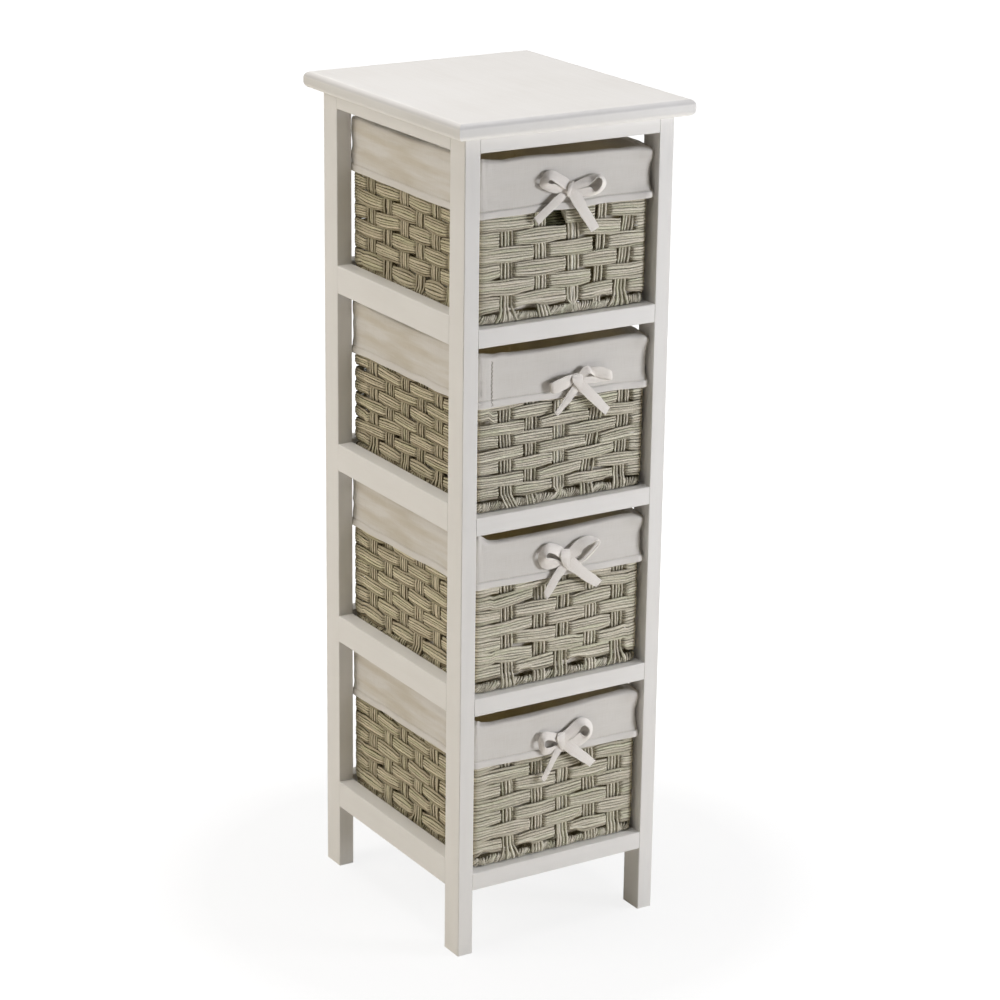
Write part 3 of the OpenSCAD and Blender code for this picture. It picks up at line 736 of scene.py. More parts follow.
        # each band bulges over the upright it crosses
        crossed = np.array([sw[i] + slant[i] * (row_z[j] - 70 * MM) for i in range(N) if i not in under])
        gaps = (s[:, None] - crossed[None] + L / 2) % L - L / 2
        nearest = np.abs(gaps).argmin(1)
        apart = np.abs(gaps).min(1)
        skew = gaps[np.arange(len(s)), nearest] * tilt[j][[i for i in range(N) if i not in under]][nearest] * (1 - B)
        dome = 0.75 * MM * np.clip(1 - (apart / (13 * MM)) ** 2, 0, 1)
        fan = 1.03 - 0.07 * np.clip(apart / (15 * MM), 0, 1.2) ** 3 * (1 - B) - 0.20 * B
        _, nrm = P(s)
        sidew = nrm[:, 0] ** 2
        sag = (2.4 * MM) * sidew if j == 0 else 0 * s
        if j == 0:
            fan = fan * (1 + 0.30 * sidew * (1 - 0.5 * np.clip(apart / (15 * MM), 0, 1) ** 2))
        mid = row_z[j] + at_ups(knot_z[j], s) + smooth_noise(rng, L, 0.13, 0.35 * MM, True)(s_abs)
        flat = 0.72 if hidden else 1.0
        rise = arch(s) if j == 0 else 0 * s
        thick = 1 + smooth_noise(rng, L, 0.05, 0.055, True)(s_abs)
        width = rng.uniform(0.72, 1.3, K) if not hidden else np.ones(K)
        width *= K / width.sum()
        place = np.cumsum(width) - width / 2 - K / 2
        for k in range(K):
            e = place[k]
            over = 1 - cut[k]
            zj = smooth_noise(rng, L, 0.12, 0.16 * MM)
            rj = smooth_noise(rng, L, 0.08, 0.15 * MM)
            puff = (0.55 * MM * (1 - (2 * e / K) ** 2) - 0.1 * MM) * over
            edge_in = -0.55 * MM * (k in (0, K - 1)) * over
            stag = 0.3 * MM * (1 if k % 2 else -1) * cut[k]
            z = mid + e * pitch / K * fan * thick + zj(s_abs) + skew - sag
            z = z + rise * ({1: 2.2, 2: 2.0, 3: 2.8, 4: 3.4}[n] * MM) * max(0.0, 0.5 - (k / (K - 1))) * 2
            r_z = r_ver * width[k] * (fan * 0.95 + 0.05)
            z = z + pinch * ((K / 2 - e) * pitch / K * 0.75 + 2.2 * MM)
            rad = in_level + (out_level - in_level) * over + dome * over + puff + edge_in + stag + rj(s_abs)
            rad = np.minimum(rad, 2.9 * MM) * flat - pinch * 1.6 * MM
            if j == 0:
                rad = rad - 1.3 * MM * sidew * max(0.0, 1 - k / 2.0) * over
            pts, nor = walk(s, rad)
            m = len(prof)
            ring = np.empty((len(s), m, 3))
            ring[:, :, 0] = pts[:, None, 0] + nor[:, None, 0] * prof[None, :, 0] * r_rad
            ring[:, :, 1] = pts[:, None, 1] + nor[:, None, 1] * prof[None, :, 0] * r_rad
            ring[:, :, 2] = zb + z[:, None] + prof[None, :, 1] * np.broadcast_to(r_z, s.shape)[:, None]
            # painted shade: cd darkens each cord where it dives behind an upright, most on the far side of it, and
            # along each band's lowest and highest cords, more on the lowest row and the sides
            weft.sweep(ring, s_abs + rng.uniform(0, 3), prof, rng.uniform(0.26, 0.74), shade_amount=np.maximum(smoothstep(cut[k], 0.06, 0.5) * (0.35 + 0.65 * away), (0.28 + 0.25 * (j == 0) + 0.3 * sidew) * (k == 0) + (0.10 + 0.2 * sidew) * (k == K - 1)))

    if sp["hole"]:
        # what shows in the gap beside the second upright: the band's inner cords, given a near-black painted shade so
        # the gap reads as shadow
        s = np.linspace(P.front(-21 * MM), P.front(4 * MM), 12)
        for k in range(7):
            pts, nor = walk(s, -3.1 * MM + 0.5 * MM * np.sin(s / (4 * MM) + k))
            ring = np.empty((12, 7, 3))
            for ax in (0, 1):
                ring[:, :, ax] = pts[:, None, ax] + nor[:, None, ax] * ROUND[None, :, 0] * 1.1 * MM
            ring[:, :, 2] = zb + 83 * MM + 2.6 * MM * k + ROUND[None, :, 1] * 1.2 * MM + 0.2 * MM * np.sin(s / (3 * MM) + 2 * k)[:, None]
            weft.sweep(ring, s, ROUND, 0.1, shade_amount=2.0)

    # uprights: four cords each, up from under the border to the rim
    for i in range(N):
        if hidden_up[i]:
            continue
        mode = modes[i]
        zz = np.concatenate([[0.7 * MM, 1.3 * MM, 2.4 * MM, 4 * MM, 6 * MM, 8 * MM, 10 * MM, 12 * MM, 14 * MM],
                             np.arange(16.5 * MM, 114 * MM, 3.1 * MM), np.arange(118 * MM, BH - 1 * MM, 8 * MM)])
        vis = np.interp(zz, row_z, [(1.0 if (i + j) % 2 == 0 else -1.0) for j in range(rows)])
        ease = np.sin(vis * np.pi / 2)
        drift = smooth_noise(rng, 0.15, 0.06, 0.30 * MM)
        low = np.clip((15 * MM - zz) / (15 * MM), 0, 1)
        cords = 3 if mode == "thin" else 4
        gap = (rng.uniform(3.3, 3.6) + 0.65 * sideways[i]) * MM
        loose = rng.normal(0, 0.28 * MM, cords)
        deep = rng.normal(0, 0.32 * MM, cords)
        lean = {"right": 1.0, "left": -1.0}.get(mode, 0.0)
        shade = rng.uniform(-0.22, 0.22)
        stout = rng.uniform(0.82, 1.18, cords)
        for k in range(cords):
            e = k - (cords - 1) / 2
            wob = smooth_noise(rng, 0.15, 0.05, 0.16 * MM)
            spread = {"split": 1 + 1.1 * low ** 1.3, "taper": 1 - 0.72 * smoothstep(low, 0.0, 0.55), "wrap": 1 + 0.12 * low,
                      "thin": 1 - 0.3 * low, "bend": 1 + 0.25 * low}.get(mode, 1 + 0.1 * low)
            side_off = (e * gap + loose[k]) * (1 + 0.04 * ease) * spread + wob(zz) + drift(zz)
            side_off = side_off + lean * 6.5 * MM * low ** 1.4 + (mode == "bend") * 3.5 * MM * low ** 1.5
            s = sw[i] + slant[i] * (zz - 70 * MM) + side_off
            rad = ease * 0.45 * MM - 0.25 * MM + 1.2 * MM * sideways[i] + deep[k] + smooth_noise(rng, 0.15, 0.04, 0.10 * MM)(zz)
            tuck = smoothstep(zz, 16 * MM, 9.5 * MM)
            under_z = np.sqrt(np.clip(1 - ((3.2 * MM - np.minimum(zz, 3.2 * MM)) / (3.0 * MM)) ** 2, 0, 1))
            goal = 2.75 * MM if mode in ("wrap", "split", "right", "left", "bend", "down") else 0.9 * MM
            rad = rad * (1 - tuck) + tuck * (goal * under_z - 0.5 * MM + abs(deep[k]) * 0.4)
            pts, nor = walk(s, rad)
            r1, r2 = 1.15 * MM, 1.32 * MM * stout[k] * (1 + 0.15 * sideways[i])
            tan = np.stack([-nor[:, 1], nor[:, 0]], 1)
            ring = np.empty((len(zz), 7, 3))
            for ax in (0, 1):
                ring[:, :, ax] = pts[:, None, ax] + nor[:, None, ax] * ROUND[None, :, 0] * r1 + tan[:, None, ax] * ROUND[None, :, 1] * r2
            ring[:, :, 2] = zb + zz[:, None]
            # painted shade: the uprights on the front take somewhat darker tones than the bands, and cd darkens them
            # where they pass behind the bands and, on the sides, along their outer cords
            warp.sweep(ring[:, ::-1], zz + rng.uniform(0, 3), ROUND[::-1], shade + rng.uniform(0.1, 0.75) * (1 - 0.6 * sideways[i]) + 0.45 * sideways[i],
                       shade_amount=np.maximum(0.7 * smoothstep(0.15 - ease, 0, 0.5) * (zz > 12 * MM), 0.35 * sideways[i] * (k in (0, cords - 1))))

    # border: a cord wrapped round the bottom wire
    step = 2.15 * MM
    turns = int(L / step)
    per = 12
    th = np.arange(turns * per + 1) / per * 2 * np.pi
    jit = smooth_noise(rng, L, 0.02, 1.0 * MM, True)
    lean = smooth_noise(rng, L, 0.034, 1.25, True)
    s0 = np.linspace(0, L, len(th))
    size = 1 + smooth_noise(rng, L, 0.035, 0.06, True)(s0)
    bump = np.repeat(np.clip(rng.normal(0, 0.30 * MM, turns + 1), -0.6 * MM, 0.45 * MM), per)[: len(th)]
    low = arch(s0)
    ra = 1.75 * MM * size + bump
    rv = (3.55 * MM) * size * (1 - 0.20 * low) + bump * 0.8
    zc = 4.9 * MM - 0.85 * MM * low
    ss = s0 + jit(s0) + (1.0 + lean(s0)) * 1.9 * MM * np.sin(th)
    rad, zz = ra * np.cos(th) - 0.1 * MM, zc + rv * np.sin(th)
    pts, nor = walk(ss, rad)
    path = np.concatenate([pts, (zb + zz)[:, None]], 1)
    tang = np.gradient(path, axis=0)
    tang /= np.linalg.norm(tang, axis=1, keepdims=True)
    centre, _ = walk(ss, np.full(len(ss), -0.1 * MM))
    outv = path - np.concatenate([centre, (zb + zc)[:, None]], 1)
    outv -= (outv * tang).sum(1, keepdims=True) * tang
    outv /= np.linalg.norm(outv, axis=1, keepdims=True)
    bin_ = np.cross(tang, outv)
    el, unit = ellipse(6, 1.05 * MM, step * 0.49)
    ring = path[:, None] + outv[:, None] * el[None, :, :1] + bin_[:, None] * el[None, :, 1:]
    ring[:, :, 2] = np.maximum(ring[:, :, 2], zb + 0.1 * MM)
    arc = np.concatenate([[0], np.cumsum(np.linalg.norm(np.diff(path, axis=0), axis=1))])
    border.sweep(ring[:, ::-1], arc, unit[::-1], 0.55)
    strand = rng.uniform(0.0, 1, turns + 1)
    border.cs[-1] = np.repeat(strand[np.minimum((np.arange(len(th)) / per).astype(int), turns)], 6)

    # base: the front uprights run under to the back, with bands woven across
    hx, hy = BW / 2 - 8 * MM, BD / 2 - 8 * MM
    bx = np.array(sp["front"]) * MM
    nb = int(2 * hy / (14 * MM))
    by = BCY - hy + (np.arange(nb) + 0.5) * 2 * hy / nb
    for a, x0 in enumerate(bx):
        yy = np.linspace(BCY - hy - 2 * MM, BCY + hy + 2 * MM, 62)
        ph = np.interp(yy, by, [(1.0 if (a + b) % 2 else -1.0) for b in range(nb)])
        for k in range(4):
            e = k - 1.5
            xx = x0 + e * 3.5 * MM + smooth_noise(rng, 0.3, 0.06, 0.3 * MM)(yy)
            zz_ = 3.3 * MM + 0.45 * MM * np.sin(ph * np.pi / 2)
            el, unit = ellipse(6, 1.6 * MM, 0.95 * MM)
            ring = np.empty((len(yy), 6, 3))
            ring[:, :, 0] = xx[:, None] + el[None, :, 0]
            ring[:, :, 1] = yy[:, None]
            ring[:, :, 2] = zb + zz_[:, None] + el[None, :, 1]
            base.sweep(ring[:, ::-1], yy + rng.uniform(0, 3), unit[::-1], rng.uniform(0, 1))
    kb = 5
    for b, y0 in enumerate(by):
        xx = np.linspace(-hx - 3 * MM, hx + 3 * MM, 48)
        edge = np.concatenate([[-hx - 30 * MM], bx, [hx + 30 * MM]])
        sg = np.concatenate([[1.0 if b % 2 else -1.0], [(-1.0 if (a + b) % 2 else 1.0) for a in range(5)], [-1.0 if (5 + b) % 2 else 1.0]])
        ph = np.interp(xx, edge, sg)
        turn = rng.normal(0, 0.006)
        for k in range(kb):
            e = k - (kb - 1) / 2
            yy = y0 + e * 2 * hy / nb / kb * 0.96 + smooth_noise(rng, 0.2, 0.05, 0.25 * MM)(xx) + turn * xx
            zz_ = 3.3 * MM + 1.75 * MM * np.sin(ph * np.pi / 2)
            el, unit = ellipse(6, 1.28 * MM, 0.9 * MM)
            ring = np.empty((len(xx), 6, 3))
            ring[:, :, 0] = xx[:, None]
            ring[:, :, 1] = yy[:, None] + el[None, :, 0]
            ring[:, :, 2] = zb + zz_[:, None] + el[None, :, 1]
            base.sweep(ring, xx + rng.uniform(0, 3), unit, rng.uniform(0, 1))

    # the rim of the weave stays under the cloth that is turned over it
    outline = Perimeter(BW, BD, 5.2 * MM, BCY)
    sr = np.linspace(0, outline.length, 500)[:-1]
    over = (zb + 128 * MM, zb + BH, outline(sr)[0], zb + round_values(outline, rim_points(n, outline, -0.8), sr) - 1.6 * MM)
    weft.settle(*over)
    warp.settle(*over)

    body = f"basket_{n}"
    out = []
    for part, batch in (("weft_bands", weft), ("warp_cords", warp), ("border_wrap", border), ("base_weave", base)):
        o = batch.build(f"basket_{n}_{part}", ROPE[n])
        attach(o, body)
        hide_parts(f"basket_{n}_weave")
        out.append(o)
    # wire rings inside the rim and the border, and the wire uprights
    wires = Batch()
    el, unit = ellipse(8, 1.6 * MM, 1.6 * MM)
    for zc_ in (BH - 3.5 * MM, 5.2 * MM):
        s = np.linspace(0, L, 261)[:-1]
        pts, nor = walk(s, np.full(260, -0.1 * MM))
        ring = np.empty((len(s), 8, 3))
        for ax in (0, 1):
            ring[:, :, ax] = pts[:, None, ax] + nor[:, None, ax] * el[None, :, 0] * (0.7 if zc_ < 0.1 else 1)
        ring[:, :, 2] = zb + zc_ + np.repeat(el[None, :, 1], len(s), 0)
        wires.sweep(ring, s, unit, 0.5, closed=True, caps=False)
    el, unit = ellipse(6, 0.9 * MM, 0.9 * MM)
    for i in range(N):
        if not (hidden_up[i] or i % 4 == 2):
            continue
        zz = np.linspace(4.6 * MM, BH - 4 * MM, 12)
        pts, nor = walk(np.full(12, sw[i]) + slant[i] * (zz - 70 * MM), np.full(12, -0.3 * MM if not hidden_up[i] else -1.0 * MM))
        ring = np.empty((12, 6, 3))
        ring[:, :, 0] = pts[:, None, 0] + el[None, :, 0]
        ring[:, :, 1] = pts[:, None, 1] + el[None, :, 1]
        ring[:, :, 2] = zb + zz[:, None]
        wires.sweep(ring, zz, unit, 0.5)
    wires.settle(*over)
    w = wires.build(f"basket_{n}_wires", WIRE)
    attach(w, body)
    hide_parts(f"basket_{n}_wire_frame")
    return out


WEAVES = {n: weave(n) for n in range(1, 5)}


# ---------------------------------------------------------------- liners
def liner(n):
    sp = LSPEC[n]
    rng = np.random.RandomState(sp["seed"])
    zb, dx = BZ[n], SPEC[n]["dx"] * MM
    out_p = Perimeter(BW, BD, 5.2 * MM, BCY)
    inset = 7.9 * MM
    in_p = Perimeter(BW - 2 * inset, BD - 2 * inset, 5.0 * MM, BCY)
    L = out_p.length
    # columns of the cloth: the same fraction of each side and corner on the outer and inner outlines
    counts = [66, 8, 84, 8, 66, 8, 84, 8]
    seg, fr = [], []
    for k, c in enumerate(counts):
        seg += [k] * c
        fr += list(np.arange(c) / c)
    seg, fr = np.array(seg), np.array(fr)
    cols = len(seg)
    s = out_p.at[seg] + fr * np.array(out_p.lens)[seg]
    s_in = in_p.at[seg] + fr * np.array(in_p.lens)[seg]
    lo_l, lo_r = sp["low"]
    lo_pts = [(out_p.front(-78 * MM), lo_l), (out_p.front(78 * MM), lo_r), (out_p.right(0.0), lo_r + rng.normal(0, 1)),
              (out_p.back(60 * MM), 101 + rng.normal(0, 1.2)), (out_p.back(-60 * MM), 101 + rng.normal(0, 1.2)),
              (out_p.left(60 * MM), (lo_l + 101) / 2), (out_p.left(-60 * MM), lo_l)]
    around = lambda pts: round_values(out_p, pts, s)
    rim_pts = rim_points(n, out_p, rng.normal(0, 0.6))

    zlow = around(lo_pts) + smooth_noise(rng, L, 0.09, 0.35 * MM, True)(s)
    zrim = around(rim_pts) + smooth_noise(rng, L, 0.10, 0.25 * MM, True)(s)
    pts0, nor0 = out_p(s)
    side = np.abs(nor0[:, 0])
    front_right = np.exp(-(((s - out_p.corner(0) + L / 2) % L - L / 2) / (14 * MM)) ** 2)
    back_left = np.exp(-(((s - out_p.corner(2) + L / 2) % L - L / 2) / (16 * MM)) ** 2)
    near_corner = np.zeros(cols)
    for i in range(4):
        dd = np.abs((s - out_p.corner(i) + L / 2) % L - L / 2)
        near_corner = np.maximum(near_corner, np.exp(-(dd / (11 * MM)) ** 2))
    broad = smooth_noise(rng, L, 0.07, 0.5, True)(s)
    flare = sp["flare"] * MM * np.clip(0.55 + 0.45 * broad, 0.15, 1.2) + 0.7 * MM * near_corner * (1 - back_left)
    # creases: long, nearly level folds in the skirt, stronger on the sides
    fold_rng = np.random.RandomState(sp["seed"] + 5)
    folds = []
    for side_k in range(4):
        for _ in range(7 if side_k in (1, 3) else 3):
            lo_s, ln = out_p.at[2 * side_k], out_p.lens[2 * side_k]
            long_ = 1.7 if side_k in (1, 3) else 1.0
            folds.append((lo_s + ln * fold_rng.uniform(0.05, 0.95), fold_rng.uniform(16, 46) * MM * long_, fold_rng.uniform(10, 44) * MM,
                          fold_rng.uniform(1.6, 3.4) * MM * long_, fold_rng.uniform(-0.10, 0.10), fold_rng.uniform(0.35, 1.0) * fold_rng.choice([-1, 1], p=[0.35, 0.65])))
    waves = [(2 * np.pi * fold_rng.randint(2, 9) / L, 2 * np.pi / fold_rng.uniform(0.018, 0.05), fold_rng.uniform(0, 6.28), fold_rng.uniform(0.3, 1)) for _ in range(10)]

    def creases(s_, h_):
        out = np.zeros_like(s_)
        for s0, ls, h0, lh, sl, amp in folds:
            d = (s_ - s0 + L / 2) % L - L / 2
            out = out + amp * np.exp(-(d / ls) ** 2) * np.exp(-((h_ - h0 - sl * d) / lh) ** 2)
        soft = sum(w[3] * np.sin(w[0] * s_ + w[1] * h_ + w[2]) for w in waves) / 10
        return out, soft

    R, Z, V, BL = [], [], [], []

    def add(off, z, v, blend=0.0):
        R.append(np.broadcast_to(off, (cols,)).copy())
        Z.append(np.broadcast_to(z, (cols,)).copy())
        V.append(np.broadcast_to(v, (cols,)).copy())
        BL.append(blend)

    hem = 6.4 * MM
    ns = 34
    seam_s = out_p.front(sp["seam"] * MM) if sp["seam"] is not None else None
    lap = 0.0
    if seam_s is not None:
        lap = 0.55 * MM * (1 - smoothstep(s, seam_s - 0.4 * MM, seam_s + 1.4 * MM)) * (s < out_p.at[1])
    near = np.array([0, 0.5, 1.3, 2.5, 3.7, 4.8, 5.5, 5.9, 6.2, 6.5, 6.8, 7.2, 8.0]) * MM
    for i in range(ns + 1):
        if i < len(near):
            z = zlow + near[i]
        else:
            t = (i - len(near) + 1) / (ns - len(near) + 1)
            z = zlow + near[-1] + (zrim - 4.6 * MM - zlow - near[-1]) * t
        h = z - zlow
        down = zrim - z
        out = (0.62 + 0.35 * side) * MM + flare * np.exp(-(h / (8 * MM)) ** 2)
        out = out + 0.75 * MM * (1 - smoothstep(h, 5.6 * MM, 6.5 * MM)) * smoothstep(h, -0.8 * MM, 0.7 * MM) - 0.35 * MM * np.exp(-((h - 7.0 * MM) / (0.9 * MM)) ** 2)
        cr, soft = creases(s, h)
        win = np.clip((h - hem) / (5 * MM), 0, 1) * np.clip(down / (7 * MM), 0, 1)
        out = out + win * ((0.26 + 1.5 * side) * MM * cr + (0.26 + 0.9 * side) * MM * soft)
        # the corners: full at the rim, drawn in at the middle, standing off again at the hem
        out = out + near_corner * ((1.0 - 0.7 * back_left) * MM * np.exp(-(down / (15 * MM)) ** 2) - 0.25 * MM * np.exp(-((h - 22 * MM) / (12 * MM)) ** 2))
        out = out + front_right * (2.0 * MM * np.exp(-((down - 3 * MM) / (9 * MM)) ** 2) + 1.8 * MM * np.exp(-((h - 4 * MM) / (6 * MM)) ** 2))
        out = out + back_left * 0.4 * MM * np.exp(-((h - 4 * MM) / (9 * MM)) ** 2)
        pleat = near_corner * 0.42 * MM * sp["gather"] * np.sin(s / (0.72 * MM) + 1.3 * np.sin(h / (9 * MM)))
        out = out + pleat * np.exp(-(down / (13 * MM)) ** 2)
        tuck = np.exp(-((s - out_p.front(-87 * MM)) / (8 * MM)) ** 2) * (s < out_p.at[1]) * sp["gather"]
        out = out + tuck * MM * (0.55 * np.exp(-(down / (9 * MM)) ** 2) + 0.30) * np.sin(s / (0.62 * MM) + 1.6 * np.sin(h / (11 * MM)))
        out = out + lap
        out = np.clip(out, 0.42 * MM, 2.2 * MM + 1.6 * MM * (1 - side ** 4) + 1.2 * MM * near_corner)
        add(out, z, h)
    top_out = R[-1].copy()
    rim = [(0.98, -3.3, 0.0), (0.86, -2.1, 0.0), (0.45, -1.0, 0.0), (-0.7, -0.35, 0.08), (-2.2, -0.05, 0.25), (-3.9, 0.0, 0.5), (-5.6, -0.35, 0.75), (-6.9, -1.2, 0.92), (-7.5, -2.6, 1.0), (-7.75, -4.4, 1.0)]
    last = V[-1]
    for q, (o, dz, bl) in enumerate(rim):
        ruck = near_corner * sp["gather"] * 0.35 * MM * np.sin(s / (0.72 * MM)) * (1 - bl * 0.4)
        off = top_out * o if o > 0 else top_out * 0 + o * MM
        add(off, zrim + dz * MM + ruck, last + (q + 1) * 1.5 * MM, bl)
    top_in = Z[-1]
    zf = 8.0 * MM
    ni = 34
    last = V[-1]
    soft_a, soft_b = (smooth_noise(rng, L, 0.045, 0.5 * MM, True)(s) for _ in range(2))
    for i in range(1, ni + 1):
        t = i / ni
        z = top_in + (zf + 5 * MM - top_in) * t
        cr, soft = creases(s + 0.13, z * 0.5)
        soft2 = soft_a * math.cos(5 * t) + soft_b * math.sin(5 * t)
        ruffle = near_corner * np.sin(s_in / (0.9 * MM) + 1.5 * np.sin(z / (17 * MM))) * np.clip(1.3 - 1.2 * t, 0, 1)
        off = -inset - 0.15 * MM - np.sin(np.pi * t) * MM * (1.7 * np.abs(cr) + 0.8 * (soft + 0.6)) + 1.2 * soft2 * np.sin(np.pi * t)
        off = off - 0.5 * MM * (ruffle + 1) * min(1.0, 6 * t)
        if n == 1:
            off = off - 9 * MM * np.exp(-((s - out_p.front(-11 * MM)) / (17 * MM)) ** 4) * np.exp(-((z - 90 * MM) / (20 * MM)) ** 4)
        add(np.minimum(off, -inset + 0.02 * MM), z, last + t * (top_in - zf), 1.0)
    last = V[-1]
    for ang in (22, 48, 72, 90):
        a = math.radians(ang)
        add(-inset - 0.15 * MM - 4.6 * MM * (1 - math.cos(a)), zf + 5 * MM * (1 - math.sin(a)), last + a * 5 * MM, 1.0)
    m = len(R)
    ring = np.empty((m, cols, 3))
    for i in range(m):
        b = BL[i]
        po, _ = out_p(s, np.maximum(R[i], -4.4 * MM))
        pi_, _ = in_p(s_in, np.maximum(R[i] + inset, -11 * MM if i < m - 4 else -4.4 * MM) if b > 0.95 else 0.0)
        ring[i, :, :2] = po * (1 - b) + pi_ * b if b < 0.95 else pi_
        ring[i, :, 2] = zb + Z[i]
    last_ring = ring[-1]
    c = np.array([0, BCY])
    nf = 22
    floor = np.empty((nf, cols, 3))
    wav = [(rng.uniform(-1, 1, 2) * 2 * np.pi / rng.uniform(0.03, 0.09), rng.uniform(0, 6.28), rng.uniform(0.2, 1)) for _ in range(9)]
    for i in range(nf):
        t = (i + 1) / nf * 0.965
        floor[i, :, :2] = c + (last_ring[:, :2] - c) * (1 - t)
        h = sum(w[2] * np.sin(floor[i, :, :2] @ w[0] + w[1]) for w in wav)
        floor[i, :, 2] = zb + zf + np.maximum(0.55 * MM * h * min(1, 4 * t), -0.9 * MM) + 0.7 * MM
    allr = np.concatenate([ring, floor])
    allr[:, :, 0] += dx
    allr[:, :, 0] = np.clip(allr[:, :, 0], -95.6 * MM, 95.6 * MM)
    M = len(allr)
    cu = np.empty((M, cols, 3))
    cu[:m, :, 0] = s[None]
    cu[:m, :, 1] = np.array(V)
    cu[:m, :, 2] = 0
    cu[m:, :, 0] = floor[:, :, 0]
    cu[m:, :, 1] = floor[:, :, 1] + 1.0
    cu[m:, :, 2] = 0.1
    i = np.arange(M - 1)[:, None]
    j = np.arange(cols)[None]
    j2 = (j + 1) % cols
    quads = np.stack([i * cols + j, i * cols + j2, (i + 1) * cols + j2, (i + 1) * cols + j], -1).reshape(-1, 4)
    cap = np.arange(cols) + (M - 1) * cols
    o = make_object(f"basket_{n}_cloth_liner", allr.reshape(-1, 3), quads, LINER, {"cu": ("FLOAT_VECTOR", cu.reshape(-1, 3))}, [cap])
    sol = o.modifiers.new("thickness", "SOLIDIFY")
    sol.thickness = 0.55 * MM
    sol.offset = 0
    sol.use_even_offset = False
    apply(o)
    body = f"basket_{n}"
    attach(o, body)
    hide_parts(f"basket_{n}_liner")

    # stitching along the hem, and up the seam where there is one
    st = Batch()

    seam = Batch()

    def stitch(a, b, r=0.2 * MM, st=st):
        a, b = np.asarray(a, float), np.asarray(b, float)
        d = b - a
        ln = np.linalg.norm(d)
        d /= ln
        up = np.array([0, 0, 1.0]) if abs(d[2]) < 0.7 else np.array([1.0, 0, 0])
        e1 = np.cross(d, up); e1 /= np.linalg.norm(e1)
        e2 = np.cross(d, e1)
        el, unit = ellipse(5, 1, 1)
        prof = [(0, 0.25), (0.18, 0.85), (0.5, 1.0), (0.82, 0.85), (1, 0.25)]
        ring = np.empty((5, 5, 3))
        for q, (t, f) in enumerate(prof):
            ring[q] = a + d * ln * t + r * f * (el[:, :1] * e1 + el[:, 1:] * e2)
        st.sweep(ring, np.linspace(0, ln, 5), unit, 0.5)

    row_h = np.array(V[: ns + 1])
    rr = np.array(R[: ns + 1])

    def on_skirt(sx, h, lift):
        ci = int(np.argmin(np.abs((s - sx + L / 2) % L - L / 2)))
        off = np.interp(h, row_h[:, ci], rr[:, ci]) + lift
        p, _ = out_p(np.array([sx]), np.array([off]))
        return (float(np.clip(p[0, 0] + dx, -95.8 * MM, 95.8 * MM)), p[0, 1], zb + zlow[ci] + h)

    for q in range(int(L / (3.1 * MM))):
        stitch(on_skirt(q * 3.1 * MM, hem + 0.5 * MM, 0.30 * MM), on_skirt(q * 3.1 * MM + 2.1 * MM, hem + 0.5 * MM, 0.30 * MM), 0.16 * MM)
    if seam_s is not None:
        h, flip = 1.2 * MM, 1
        ci = int(np.argmin(np.abs(s - seam_s)))
        top = zrim[ci] - zlow[ci] - 5.5 * MM
        while h < top:
            jog = rng.normal(0, 0.15, 2) * MM
            stitch(on_skirt(seam_s + 0.2 * MM - flip * 0.95 * MM + jog[0], h, 0.45 * MM), on_skirt(seam_s + 0.2 * MM + flip * 0.95 * MM + jog[1], h + 1.9 * MM, 0.45 * MM), 0.30 * MM, seam)
            if flip > 0:
                stitch(on_skirt(seam_s + 1.5 * MM, h, 0.40 * MM), on_skirt(seam_s + 1.5 * MM, h + 1.9 * MM, 0.40 * MM), 0.24 * MM)
            h += 1.95 * MM
            flip = -flip
    so = st.build(f"basket_{n}_hem_stitching", THREAD)
    if seam.n:
        se = seam.build(f"basket_{n}_seam_stitching", SEAM)
        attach(se, body)
    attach(so, body)
    wide, long_ = 0.62, 0.56
    return o


def apply(o):
    """Applies every modifier of the object."""
    dg = bpy.context.evaluated_depsgraph_get()
    me = bpy.data.meshes.new_from_object(o.evaluated_get(dg), preserve_all_data_layers=True, depsgraph=dg)
    o.modifiers.clear()
    old = o.data
    o.data = me
    me.name = old.name + "_m"
    bpy.data.meshes.remove(old)


LINERS = {n: liner(n) for n in range(1, 5)}


